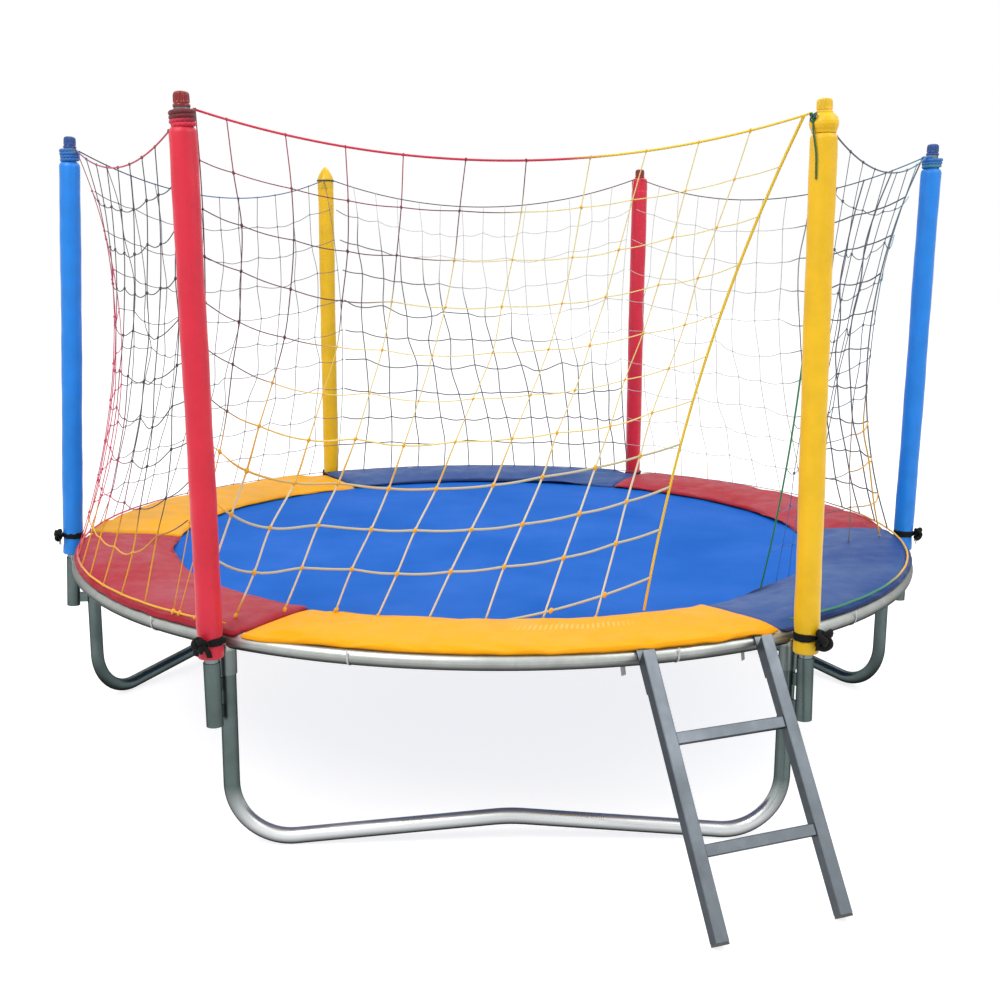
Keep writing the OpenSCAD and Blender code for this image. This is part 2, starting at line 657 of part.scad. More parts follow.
for (i = [0 : 5]) {
    rim_segment(i);
    pole(i);
    foam(i);
    springs(i);
    pad(i);
    net(i);
}
leg(270, [4, 5]);  // leg_front
leg(30, [0, 1]);  // leg_right
leg(150, [2, 3]);  // leg_left
pole_caps("MidnightBlue", [0, 3]);  // pole_caps_blue
pole_caps("DarkRed", [1, 4]);  // pole_caps_red
pole_caps("Gold", [2, 5]);  // pole_caps_yellow
pole_straps();
pole_lashings();
mat();
mat_border();
mat_rings();
pad_ties();
net_head_ropes();
net_foot_rope();
entry_rope(front_span, 1, "Gold");  // net_entry_rope_left
entry_rope(right_front_span, 0, "SeaGreen");  // net_entry_rope_right
ladder_stile(-ladder_w / 2);  // ladder_stile_left
ladder_stile(ladder_w / 2);  // ladder_stile_right
ladder_rung(rung_upper);  // ladder_rung_upper
ladder_rung(rung_lower);  // ladder_rung_lower
ladder_hook(-ladder_w / 2);  // ladder_hook_left
ladder_hook(ladder_w / 2);  // ladder_hook_right
ladder_feet();
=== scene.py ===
# Round garden trampoline with coloured edge pads, foam-sleeved poles, a knotted net and a hook-on ladder.
import math

import bpy
import numpy as np
from mathutils import Matrix, Vector


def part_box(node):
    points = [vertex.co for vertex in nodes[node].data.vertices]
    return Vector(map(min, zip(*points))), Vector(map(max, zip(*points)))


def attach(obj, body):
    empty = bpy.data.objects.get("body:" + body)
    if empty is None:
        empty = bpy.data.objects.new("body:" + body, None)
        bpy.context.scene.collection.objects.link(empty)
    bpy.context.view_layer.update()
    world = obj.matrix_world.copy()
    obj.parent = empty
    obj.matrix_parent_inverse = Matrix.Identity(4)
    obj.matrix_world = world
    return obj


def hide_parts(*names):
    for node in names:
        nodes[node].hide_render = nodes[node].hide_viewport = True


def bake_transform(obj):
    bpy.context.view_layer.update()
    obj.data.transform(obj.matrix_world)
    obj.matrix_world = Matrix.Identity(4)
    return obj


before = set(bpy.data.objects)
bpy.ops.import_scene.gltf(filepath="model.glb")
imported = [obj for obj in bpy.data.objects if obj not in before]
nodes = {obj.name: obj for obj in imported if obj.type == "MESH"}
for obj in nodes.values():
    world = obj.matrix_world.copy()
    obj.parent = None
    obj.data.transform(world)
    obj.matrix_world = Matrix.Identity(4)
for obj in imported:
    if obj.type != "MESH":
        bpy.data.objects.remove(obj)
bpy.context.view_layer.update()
print("frame loaded:", len(nodes), "nodes")

# sizes in metres, read off the frame where it has them
sideNames = ["right", "back_right", "back_left", "left", "front_left", "front_right"]
spanNames = ["right_back", "back", "left_back", "left_front", "front", "right_front"]
rightBackSpan, backSpan, leftFrontSpan, frontSpan, rightFrontSpan = 0, 1, 3, 4, 5
poleAngles = np.radians([-2, 62, 118, 182, 238, 302])
rimRadius = 1.22
rimTube = 0.019
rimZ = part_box("rim_segment_left")[1].z - rimTube
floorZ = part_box("leg_front")[0].z
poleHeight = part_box("pole_front_left")[1].z - rimZ
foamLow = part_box("foam_front_left")[0].z - rimZ
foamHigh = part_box("foam_front_left")[1].z - rimZ
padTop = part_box("pad_back")[1].z
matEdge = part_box("mat")[1].x
ringZ = (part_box("mat_rings")[0].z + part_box("mat_rings")[1].z) / 2


def linear(tone):
    # screen colour, 0 to 255, as the linear light that a shader takes
    c = np.array(tone) / 255
    return tuple(np.where(c <= 0.04045, c / 12.92, ((c + 0.055) / 1.055) ** 2.4).tolist())


def polar(radius, angle, z):
    # points at a distance and angle from the upright through the mat's middle
    parts = np.broadcast_arrays(radius * np.cos(angle), radius * np.sin(angle), z)
    return np.stack(parts, -1)


def circle(count):
    # angles spaced evenly, once round
    return 2 * np.pi * np.arange(count) / count


def unit(vectors):
    return vectors / np.maximum(np.linalg.norm(vectors, axis=-1, keepdims=True), 1e-12)


def ease(low, high, x):
    # 0 below low, 1 above high, and a smooth S between
    t = np.clip((x - low) / (high - low), 0, 1)
    return t * t * (3 - 2 * t)


def mix(a, b, t):
    return a + (b - a) * np.asarray(t)[..., None]


def turned(points, angle):
    # the same points turned about the upright through the mat's middle
    c, s = math.cos(angle), math.sin(angle)
    return points @ np.array([[c, s, 0], [-s, c, 0], [0, 0, 1]])


def running(steps):
    # distance from the start at each point, from the lengths of the steps between
    return np.concatenate([np.zeros((len(steps), 1)), np.cumsum(steps, 1)], 1)


def finer(corners, times):
    # an outline's corners with more points on the straight lines between them
    corners = np.array(corners)
    where = np.linspace(0, len(corners) - 1, times * len(corners))
    return np.stack([np.interp(where, np.arange(len(corners)), column) for column in corners.T], -1)


def trefoil(t, weave):
    # a three-lobed knot facing out: sin t + 2 sin 2t against cos t - 2 cos 2t, weaving by sin 3t
    level, up = np.sin(t) + 2 * np.sin(2 * t), np.cos(t) - 2 * np.cos(2 * t)
    return np.stack([weave * np.sin(3 * t), level, up], -1)


def newObject(name, data):
    obj = bpy.data.objects.new(name, data)
    bpy.context.collection.objects.link(obj)
    return obj


def ringMesh(name, rings, closed=False, tint=None):
    # rings is pieces x along x around x 3: quads join neighbours, and flat ends close an open run
    pieces, along, around = rings.shape[:3]
    index = np.arange(pieces * along * around).reshape(pieces, along, around)
    here = index if closed else index[:, :-1]
    ahead = np.roll(index, -1, 1) if closed else index[:, 1:]
    quads = np.stack([here, np.roll(here, -1, 2), np.roll(ahead, -1, 2), ahead], -1)
    ends = [] if closed else index[:, 0, ::-1].tolist() + index[:, -1].tolist()
    mesh = bpy.data.meshes.new(name)
    mesh.from_pydata(rings.reshape(-1, 3).tolist(), [], quads.reshape(-1, 4).tolist() + ends)
    # the UV map holds metres along the run and the share of the way round it
    middles = rings.mean(2)
    spread = rings.std(axis=2).sum(-1).max() * 0.01
    steps = np.linalg.norm(np.roll(middles, -1, 1) - middles, axis=-1)
    if steps.mean() < spread:
        steps = np.linalg.norm(np.roll(rings, -1, 1) - rings, axis=-1).mean(2)
    run = running(steps)
    last = along if closed else along - 1
    u = np.stack([run[:, :last], run[:, :last], run[:, 1 : last + 1], run[:, 1 : last + 1]], -1)
    j = np.arange(around)
    v = np.stack([j, j + 1, j + 1, j], -1) / around
    shape = (pieces, last, around, 4)
    uv = np.stack([np.broadcast_to(u[:, :, None], shape), np.broadcast_to(v, shape)], -1).ravel()
    uv = np.concatenate([uv, np.zeros(2 * len(ends) * around)])
    mesh.uv_layers.new(name="run").data.foreach_set("uv", uv.astype(np.float32))
    if tint is not None:
        colour = np.ones((pieces, along, around, 4), np.float32)
        colour[..., :3] = tint[:, :, None]
        layer = mesh.color_attributes.new("tint", "FLOAT_COLOR", "POINT")
        layer.data.foreach_set("color", colour.ravel())
    mesh.polygons.foreach_set("use_smooth", np.ones(len(mesh.polygons), bool))
    mesh.update()
    return newObject(name, mesh)


def sweep(paths, across, width, height=None, around=8, closed=False, lobes=0, lay=0.0):
    # an ellipse across the path at each point; lobes are a laid rope's strands, which turn lay times a metre
    height = width if height is None else height
    ahead = np.roll(paths, -1, 1) - np.roll(paths, 1, 1) if closed else np.gradient(paths, axis=1)
    tangent = unit(ahead)
    across = np.broadcast_to(across, paths.shape)
    side = unit(across - tangent * (across * tangent).sum(-1, keepdims=True))
    other = np.cross(tangent, side)
    theta = circle(around)
    run = running(np.linalg.norm(np.diff(paths, axis=1), axis=-1))[:, :, None]
    grooves = 1 - 0.13 * np.abs(np.cos(lobes / 2 * (theta - 2 * np.pi * lay * run))) ** 3 if lobes else 1
    w = np.broadcast_to(width, paths.shape[:2])[..., None] * np.cos(theta) * grooves
    h = np.broadcast_to(height, paths.shape[:2])[..., None] * np.sin(theta) * grooves
    return paths[:, :, None] + w[..., None] * side[:, :, None] + h[..., None] * other[:, :, None]


def smoothPath(points, steps):
    # a curve through the points: each stretch is a cubic whose end slopes follow the points on either side
    before = np.concatenate([2 * points[:, :1] - points[:, 1:2], points[:, :-1]], 1)
    after = np.concatenate([points[:, 1:], 2 * points[:, -1:] - points[:, -2:-1]], 1)
    slope = (after - before) / 2
    t = (np.arange(steps) / steps)[None, None, :, None]
    p, q = points[:, :-1, None], points[:, 1:, None]
    m, n = slope[:, :-1, None], slope[:, 1:, None]
    cubic = (2 * t**3 - 3 * t**2 + 1) * p + (t**3 - 2 * t**2 + t) * m
    cubic = cubic + (3 * t**2 - 2 * t**3) * q + (t**3 - t**2) * n
    return np.concatenate([cubic.reshape(len(points), -1, 3), points[:, -1:]], 1)


def give(obj, material, body=None, *replaced):
    obj.data.materials.clear()
    obj.data.materials.append(material)
    if body:
        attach(obj, body)
    if replaced:
        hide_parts(*replaced)
    return obj


# finishes: nodes are added to the tree that holds the given node or socket


def feed(socket, value):
    # a link where the value is another node's socket, and a constant where it isn't
    if isinstance(value, bpy.types.NodeSocket):
        socket.id_data.links.new(value, socket)
    else:
        socket.default_value = value


def dress(node, inputs):
    for key, value in inputs.items():
        feed(node.inputs[key], value)


def newFinish(name, colour, roughness, metallic=0.0):
    material = bpy.data.materials.new(name)
    material.use_nodes = True
    shader = material.node_tree.nodes["Principled BSDF"]
    dress(shader, {"Base Color": (*colour, 1), "Roughness": roughness, "Metallic": metallic})
    return material, shader


def add(beside, kind, inputs=None, **settings):
    node = beside.id_data.nodes.new("ShaderNode" + kind)
    for key, value in settings.items():
        setattr(node, key, value)
    dress(node, inputs or {})
    return node


def place(shader, stretch=(1, 1, 1), uv=False):
    # where a point is, in metres on the object, or along and round its own UV map
    if uv:
        source = add(shader, "UVMap", uv_map="run").outputs["UV"]
    else:
        source = add(shader, "TexCoord").outputs["Object"]
    return add(shader, "Mapping", {"Vector": source, "Scale": stretch}).outputs[0]


def noise(where, scale, detail=4.0, rough=0.55):
    settings = {"Vector": where, "Scale": scale, "Detail": detail, "Roughness": rough}
    return add(where, "TexNoise", settings).outputs["Fac"]


def bands(where, scale, distortion, way, detailScale=1.0):
    # stripes across one way, for threads, ribs and the lay of a yarn
    settings = {"Vector": where, "Scale": scale, "Distortion": distortion, "Detail Scale": detailScale}
    return add(where, "TexWave", settings, bands_direction=way).outputs["Fac"]


def ranged(value, low, high, newLow=0.0, newHigh=1.0):
    settings = {"Value": value, "From Min": low, "From Max": high, "To Min": newLow, "To Max": newHigh}
    return add(value, "MapRange", settings).outputs[0]


def sums(kind, a, b):
    return add(a, "Math", {0: a, 1: b}, operation=kind).outputs[0]


def between(value, rise, fall):
    # 1 from the end of the rise to the start of the fall, and 0 outside them
    return sums("MULTIPLY", ranged(value, *rise), ranged(value, *fall, 1.0, 0.0))


def blendColour(factor, a, b, kind="MIX"):
    a, b = ((*c, 1) if isinstance(c, tuple) else c for c in (a, b))
    return add(factor, "Mix", {0: factor, 6: a, 7: b}, data_type="RGBA", blend_type=kind).outputs[2]


def bump(shader, height, distance, strength=1.0):
    node = add(shader, "Bump", {"Height": height, "Distance": distance, "Strength": strength})
    old = shader.inputs["Normal"]
    if old.is_linked:
        feed(node.inputs["Normal"], old.links[0].from_socket)
    feed(old, node.outputs[0])


def shade(colour, factor, lift=0.0):
    return tuple(min(1.0, c * factor + lift) for c in colour)


def zincSteel(name, tone, roughness, lowTone=None, low=0.0, high=1.0):
    # zinc spangle in flat crystals and dull patches, a painted shade on sides and undersides, and another
    # tone below a height
    colour = linear(tone)
    material, shader = newFinish(name, colour, roughness, 0.85)
    where = place(shader)
    crystals = add(shader, "TexVoronoi", {"Vector": where, "Scale": 70.0}).outputs["Color"]
    patches = noise(where, 9.0, 5.0)
    toned = blendColour(ranged(crystals, 0.0, 1.0, 0.0, 0.55), colour, shade(colour, 0.8))
    toned = blendColour(ranged(patches, 0.45, 0.75), toned, shade(colour, 0.72))
    if lowTone:
        height = add(shader, "SeparateXYZ", {0: where}).outputs["Z"]
        toned = blendColour(ranged(height, low, high, 0.9, 0.0), toned, linear(lowTone))
    # painted shade: tops keep the tone, sides darken and undersides darken most, towards 0.12 of it
    up = add(shader, "SeparateXYZ", {0: add(shader, "TexCoord").outputs["Normal"]}).outputs["Z"]
    toned = blendColour(ranged(up, -0.55, 0.4, 0.95, 0.0), toned, shade(colour, 0.12))
    worn = ranged(patches, 0.3, 0.7, roughness - 0.07, roughness + 0.12)
    dress(shader, {"Base Color": toned, "Roughness": worn, "Specular Tint": (0.1, 0.1, 0.1, 1)})
    bump(shader, noise(where, 420.0, 2.0), 0.0002, 0.25)
    return material


def foamSkin(name, tone):
    # closed-cell foam: a soft satin skin with fine pores, slow waves and scuffs
    colour = linear(tone)
    material, shader = newFinish(name, colour, 0.42)
    where = place(shader)
    clouds = noise(where, 14.0, 4.0)
    toned = blendColour(ranged(clouds, 0.35, 0.7), colour, shade(colour, 0.86))
    scuffs = ranged(noise(place(shader, (60, 60, 4)), 1.4, 5.0), 0.62, 0.78, 0.0, 0.25)
    toned = blendColour(scuffs, toned, shade(colour, 1.3, 0.03))
    dress(shader, {"Base Color": toned, "Roughness": ranged(clouds, 0.3, 0.7, 0.34, 0.5)})
    depth = {"Subsurface Weight": 0.06, "Subsurface Radius": (0.01, 0.006, 0.004)}
    dress(shader, {"Sheen Weight": 0.08, **depth})
    bump(shader, noise(where, 900.0, 2.0), 0.0003, 0.22)
    bump(shader, noise(place(shader, (1, 1, 0.35)), 26.0, 3.0), 0.0022, 0.35)
    return material


# distances from the middle within and beyond which a pad's edges darken: partly its sewn hems, partly a
# painted shade where the cloth turns down
hemAndShadeInner, hemAndShadeOuter = (0.964, 0.967), (1.226, 1.229)

# a band of short stitches across the strip, on the front pad's right half: its edges in metres and radians
stitch = dict(inner=(1.062, 1.07), outer=(1.1, 1.108), start=(-1.585, -1.535), end=(-1.355, -1.29))
stitch.update(round=560.0, slant=150.0, share=0.3, tone=(250, 226, 176))


def stitches(where, out, s):
    parts = add(where, "SeparateXYZ", {0: where}).outputs
    turn = sums("ARCTAN2", parts["Y"], parts["X"])
    turns, slant = sums("MULTIPLY", turn, s["round"]), sums("MULTIPLY", out, s["slant"])
    threads = ranged(sums("SINE", sums("ADD", turns, slant), 0.0), 0.1, 0.7)
    across, along = between(out, s["inner"], s["outer"]), between(turn, s["start"], s["end"])
    band = sums("MULTIPLY", threads, sums("MULTIPLY", across, along))
    return sums("MULTIPLY", band, s["share"])


def coatedCloth(name, tone, haze, hemAndShadeTone, dustiness, stitched=False):
    # coated tarpaulin: a fine square weave under the film, dusty haze and small creases
    # both rounded edges are darker: partly the sewn hems, partly a painted shade where the cloth turns down
    colour = linear(tone)
    material, shader = newFinish(name, colour, 0.45)
    where = place(shader)
    flat = add(shader, "VectorMath", {0: where, 1: (1, 1, 0)}, operation="MULTIPLY").outputs[0]
    out = add(shader, "VectorMath", {0: flat}, operation="LENGTH").outputs["Value"]
    hemAndEdgeShade = sums("MAXIMUM", ranged(out, *hemAndShadeInner, 1.0, 0.0), ranged(out, *hemAndShadeOuter))
    dust = ranged(noise(where, 3.2, 5.0, 0.6), 0.42, 0.66, 0.0, dustiness)
    toned = blendColour(dust, colour, linear(haze))
    darker = ranged(noise(where, 11.0, 4.0), 0.5, 0.8, 0.0, 0.35)
    toned = blendColour(darker, toned, shade(colour, 0.7))
    # hems and painted shade at both edges
    toned = blendColour(sums("MULTIPLY", hemAndEdgeShade, 0.7), toned, linear(hemAndShadeTone))
    if stitched:
        toned = blendColour(stitches(where, out, stitch), toned, linear(stitch["tone"]))
    worn = ranged(noise(where, 24.0), 0.3, 0.7, 0.38, 0.55)
    dress(shader, {"Base Color": toned, "Roughness": worn, "Specular IOR Level": 0.07})
    dress(shader, {"Coat Weight": 0.02, "Coat Roughness": 0.3})
    weave = sums("ADD", *(bands(where, 190.0, 0.4, way) for way in "XY"))
    bump(shader, weave, 0.0002, 0.35)
    bump(shader, noise(place(shader, (1, 1, 3)), 42.0, 3.0, 0.6), 0.003, 0.3)
    return material


def wovenCloth(name, tone, scale, sheen):
    # threads over and under each other in a square weave, with uneven dye
    colour = linear(tone)
    material, shader = newFinish(name, colour, 0.62)
    where = place(shader)
    weave = sums("MULTIPLY", *(bands(where, scale, 0.6, way) for way in "XY"))
    dye = noise(where, 2.4, 5.0)
    toned = blendColour(ranged(dye, 0.35, 0.68), colour, shade(colour, 0.84))
    toned = blendColour(ranged(weave, 0.0, 1.0, 0.28, 0.0), toned, shade(colour, 0.55))
    dress(shader, {"Base Color": toned, "Roughness": ranged(dye, 0.3, 0.7, 0.5, 0.7)})
    dress(shader, {"Specular IOR Level": 0.06, "Sheen Weight": sheen, "Sheen Roughness": 0.4})
    bump(shader, weave, 0.0006, 0.4)
    return material


def twineFinish(name, along, strands, roughness=0.7):
    # dyed twine: the dye is the piece's own tint, darker in the lay of the yarn, with loose fibres
    # the diagonal wave repeats every 0.628, so that much for each strand closes it round the yarn
    material, shader = newFinish(name, (0.5, 0.5, 0.5), roughness)
    dye = add(shader, "VertexColor", layer_name="tint").outputs["Color"]
    lay = bands(place(shader, (along, 0.628 * strands, 1), uv=True), 1.0, 1.2, "DIAGONAL", 2.0)
    fibres = noise(place(shader), 700.0, 3.0)
    toned = blendColour(ranged(lay, 0.0, 0.6, 0.3, 0.0), dye, (0.03, 0.03, 0.03), "MULTIPLY")
    loose = ranged(fibres, 0.45, 0.75, 0.0, 0.3)
    toned = blendColour(loose, toned, (0.8, 0.78, 0.72), "SOFT_LIGHT")
    worn = ranged(fibres, 0.3, 0.7, roughness - 0.1, roughness + 0.15)
    dress(shader, {"Base Color": toned, "Roughness": worn, "Sheen Weight": 0.15})
    bump(shader, lay, 0.0006, 0.6)
    return material


def mouldedPlastic(name, tone, roughness):
    # moulded plastic: faint flow marks and a fine grain
    colour = linear(tone)
    material, shader = newFinish(name, colour, roughness)
    flow = noise(place(shader, (1, 1, 0.3)), 60.0, 4.0)
    toned = blendColour(ranged(flow, 0.4, 0.7), colour, shade(colour, 0.75))
    worn = ranged(flow, 0.3, 0.7, roughness - 0.08, roughness + 0.1)
    dress(shader, {"Base Color": toned, "Roughness": worn})
    bump(shader, noise(place(shader), 1200.0, 2.0), 0.0002, 0.2)
    return material


def ribbedTape(name, tone, roughness):
    # woven tape: ribs across its run, about 620 to a metre, and a slightly uneven dye
    colour = linear(tone)
    material, shader = newFinish(name, colour, roughness)
    rib = bands(place(shader, (196.0, 6, 1), uv=True), 1.0, 0.5, "X")
    fuzz = noise(place(shader), 500.0, 3.0)
    toned = blendColour(ranged(rib, 0.0, 1.0, 0.5, 0.0), colour, shade(colour, 0.45))
    toned = blendColour(ranged(fuzz, 0.5, 0.8, 0.0, 0.25), toned, shade(colour, 2, 0.008))
    worn = ranged(fuzz, 0.3, 0.7, roughness - 0.1, roughness + 0.1)
    dress(shader, {"Base Color": toned, "Roughness": worn, "Specular IOR Level": 0.2})
    bump(shader, rib, 0.0005, 0.5)
    return material


# screen tones, each with its roughness or dustiness
# one galvanised zinc throughout: the legs' darker tone, and the rim's lower tone on its parts below the tube,
# are a painted shade
rimSteel = zincSteel("galvanisedRim", (198, 202, 198), 0.34, (118, 132, 130), rimZ - 0.024, rimZ - 0.018)
shadedLegTone, paintedHighlightTone = (112, 128, 126), (243, 245, 246)
legSteel = zincSteel("galvanisedLeg", shadedLegTone, 0.3)
# the front leg near the floor, its bottom bar, takes a near-white painted highlight
frontLegSteel = zincSteel("galvanisedFrontLeg", shadedLegTone, 0.3, paintedHighlightTone, floorZ + 0.05, floorZ + 0.15)
poleSteel = zincSteel("galvanisedPole", (150, 162, 163), 0.3)
ladderSteel = zincSteel("ladderSteel", (120, 127, 134), 0.34)
springSteel = zincSteel("springSteel", (190, 192, 194), 0.28)
foamTones = dict(blue=(6, 136, 236), red=(226, 30, 60), yellow=(255, 202, 4))
foamFinish = {dye: foamSkin("foam_" + dye, tone) for dye, tone in foamTones.items()}
# each pad: tone, dust haze, hem and painted edge shade tone, dustiness, and for the front pad its stitches
padTones = dict(
    red=((170, 38, 52), (172, 78, 92), (150, 24, 38), 0.7),
    blue=((40, 74, 138), (80, 108, 154), (24, 32, 74), 0.55),
    yellow=((244, 170, 4), (212, 160, 78), (232, 152, 6), 0.7),
    front=((244, 170, 4), (232, 172, 56), (224, 146, 4), 0.3, True),
)
padFinish = {dye: coatedCloth("padCloth_" + dye, *look) for dye, look in padTones.items()}
matFinish = wovenCloth("matCloth", (10, 104, 208), 150.0, 0.0)
borderFinish = wovenCloth("borderWebbing", (46, 48, 56), 210.0, 0.1)
twine = twineFinish("netTwine", 126.0, 2)
ropeFinish = twineFinish("layRope", 70.0, 3, 0.62)
strapFinish = ribbedTape("strapWebbing", (9, 9, 10), 0.75)
tieFinish = ribbedTape("elasticTie", (226, 228, 230), 0.6)
footFinish = mouldedPlastic("footPlastic", (74, 76, 80), 0.5)
capTones = dict(blue=((20, 70, 140), 0.3), red=((136, 18, 24), 0.26), yellow=((244, 196, 24), 0.34))
capFinish = {dye: mouldedPlastic("capPlastic_" + dye, *look) for dye, look in capTones.items()}
sideDye = ["blue", "red", "yellow", "blue", "red", "yellow"]
print("finishes made:", len(bpy.data.materials))

# camera where the photograph was taken, found from the rim, poles and feet
camera = dict(yaw=2.529, pitch=10.815, roll=0.298, focal=1265.2, frame=1000, sensor=36, far=200)
camera["place"] = (-0.149, -3.826, 0.854 + rimZ)


def setCamera(c):
    yaw, pitch, roll = (math.radians(c[k]) for k in ("yaw", "pitch", "roll"))
    ahead = Vector((math.sin(yaw) * math.cos(pitch), math.cos(yaw) * math.cos(pitch), -math.sin(pitch)))
    level = Vector((math.cos(yaw), -math.sin(yaw), 0))
    up = level.cross(ahead)
    right = level * math.cos(roll) + up * math.sin(roll)
    above = up * math.cos(roll) - level * math.sin(roll)
    data = bpy.data.cameras.new("photoCamera")
    data.sensor_width = c["sensor"]
    data.lens = c["focal"] / c["frame"] * data.sensor_width
    data.clip_end = c["far"]
    obj = newObject("photoCamera", data)
    turn = Matrix((right, above, -ahead)).transposed().to_4x4()
    obj.matrix_world = Matrix.Translation(c["place"]) @ turn
    bpy.context.scene.camera = obj


setCamera(camera)

# pale floor and soft studio light; a lamp has a place, a size and its watts
studio = dict(floorSize=60, floorTone=0.5, floorRough=0.9, sky=0.62, glow=0.8)
studio["lamps"] = [((-2.6, -3.4, 4.2), 3.0, 150), ((3.4, -2.2, 3.6), 3.0, 80), ((0.4, 3.2, 5.0), 4.0, 120)]


def backgroundRays(beside):
    # 1 where the background is looked at, straight, in a reflection or through something clear
    rays = add(beside, "LightPath").outputs
    straight = sums("MAXIMUM", rays["Is Camera Ray"], rays["Is Glossy Ray"])
    return sums("MAXIMUM", straight, rays["Is Transmission Ray"])


def setStudio(s):
    half = s["floorSize"] / 2
    corners = [(x * half, y * half, floorZ) for x, y in ((-1, -1), (1, -1), (1, 1), (-1, 1))]
    mesh = bpy.data.meshes.new("floor")
    mesh.from_pydata(corners, [], [(0, 1, 2, 3)])
    floor = newObject("floor", mesh)
    material, shader = newFinish("paleFloor", (s["floorTone"],) * 3, s["floorRough"])
    strength = sums("MULTIPLY", backgroundRays(shader), s["glow"])
    glow = add(shader, "Emission", {"Color": (1, 1, 1, 1), "Strength": strength})
    both = add(shader, "AddShader", {0: shader.outputs[0], 1: glow.outputs[0]})
    dress(material.node_tree.nodes["Material Output"], {"Surface": both.outputs[0]})
    mesh.materials.append(material)
    world = bpy.data.worlds.new("studio")
    world.use_nodes = True
    bpy.context.scene.world = world
    sky = world.node_tree.nodes["Background"]
    strength = ranged(backgroundRays(sky), 0.0, 1.0, s["sky"], 1.0)
    dress(sky, {"Color": (1, 1, 1, 1), "Strength": strength})
    for n, (spot, size, watts) in enumerate(s["lamps"]):
        data = bpy.data.lights.new("lamp_%d" % n, "AREA")
        data.size = size
        data.energy = watts
        aim = (-Vector(spot)).to_track_quat("-Z", "Y").to_matrix().to_4x4()
        newObject("lamp_%d" % n, data).matrix_world = Matrix.Translation(spot) @ aim
    bpy.context.scene.view_settings.view_transform = "Standard"


setStudio(studio)
print("camera and studio set")

# steel: the frame's own tubes, with a weld bead round each leg socket
for name, obj in nodes.items():
    for start, finish in (("rim_segment", rimSteel), ("leg_", legSteel), ("pole_", poleSteel)):
        if name.startswith(start) and name not in ("pole_straps", "pole_lashings"):
            give(obj, finish)
    if name.startswith("ladder_"):
        give(obj, footFinish if name == "ladder_feet" else ladderSteel)
for name, finish in dict(leg_front=frontLegSteel, mat_rings=springSteel, mat_border=borderFinish).items():
    give(nodes[name], finish)

weld = dict(bead=0.0022, ripples=46, around=6, steps=184, socketRadius=0.0216)


def weldBeads(w):
    # a small rippled ring round each leg socket, just below the middle of the rim's tube
    theta = circle(w["steps"])
    centres = polar(rimRadius, poleAngles, rimZ - rimTube / 4)
    paths = centres[:, None] + polar(w["socketRadius"], theta, 0.0)[None]
    size = w["bead"] * (0.8 + 0.25 * np.abs(np.sin(w["ripples"] / 2 * theta)))
    rings = sweep(paths, (0, 0, 1), size, around=w["around"], closed=True)
    return ringMesh("weldBeads", rings, closed=True)


give(weldBeads(weld), rimSteel, "frame")
print("steel dressed")

# springs: one wire from the ring's hook, along the coil and into the rim's hole
spring = dict(hookIn=1.06447, hookOut=1.20066, coilRadius=0.0091, shank=0.012, wire=0.00175)
spring.update(turns=30, perTurn=14, around=6, perSpan=8)


def hookArc(x, r, angles):
    # an arc about the hook's middle, and the ways out from that middle
    angles = np.radians(angles)
    out = np.stack([np.cos(angles), 0 * angles, np.sin(angles)], -1)
    return (x, 0, 0) + r * out, out


def springWire(s):
    # hook arc, shank, helix, shank and hook arc, all at the coil's radius about the ring plane
    r = s["coilRadius"]
    inner, innerOut = hookArc(s["hookIn"], r, np.linspace(270, 90, 13))
    outer, outerOut = hookArc(s["hookOut"], r, np.linspace(90, -40, 11))
    count = s["turns"] * s["perTurn"] + 1
    turn = np.linspace(0, 2 * np.pi * s["turns"], count)
    x = np.linspace(s["hookIn"] + s["shank"], s["hookOut"] - s["shank"], count)
    coilOut = np.stack([0 * turn, np.sin(turn), np.cos(turn)], -1)
    coil = np.stack([x, 0 * x, 0 * x], -1) + r * coilOut
    path = np.concatenate([inner, coil, outer])
    return path + (0, 0, ringZ), np.concatenate([innerOut, coilOut, outerOut])


def makeSprings(s):
    path, out = springWire(s)
    wire = sweep(path[None], out[None], s["wire"], around=s["around"])
    for n in range(6 * s["perSpan"]):
        angle = math.radians((n + 0.5) * 60 / s["perSpan"])
        span = spanNames[n // s["perSpan"]]
        obj = give(ringMesh("spring_%02d" % n, turned(wire, angle)), springSteel)
        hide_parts("springs_" + span)
        rimEnd, matEnd = (polar(s[k], angle, ringZ) for k in ("hookOut", "hookIn"))
        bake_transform(obj)


makeSprings(spring)
print("springs wound")

# mat: one stretched sheet, pulled into faint scallops between its loops
mat = dict(thickness=0.002, sag=0.003, scallop=0.0012, loops=48, rings=40, around=192)


def makeMat(m):
    # depth is the sag times 1 less the square of the share of the way out, and more between loops at the edge
    share = np.linspace(0.004, 1, m["rings"])
    theta = circle(m["around"])
    dip = -m["sag"] * (1 - share**2)[:, None]
    pull = m["scallop"] * ease(0.86, 0.99, share)[:, None] * (np.cos(m["loops"] * theta) - 1) / 2
    top = polar(matEdge * share[:, None], theta[None], dip + pull)
    return ringMesh("mat_sheet", np.concatenate([top - (0, 0, m["thickness"]), top[::-1]])[None])


sheet = give(makeMat(mat), matFinish, "mat", "mat")
print("mat stretched")

# poles: each axis as the frame has it, because some lean


def axisEnds(name, band=0.004):
    # middles of a tube's lowest and highest rings
    mesh = nodes[name].data
    points = np.empty(3 * len(mesh.vertices), np.float32)
    mesh.vertices.foreach_get("co", points)
    points = points.reshape(-1, 3)
    z = points[:, 2]
    return points[z < z.min() + band].mean(0), points[z > z.max() - band].mean(0)


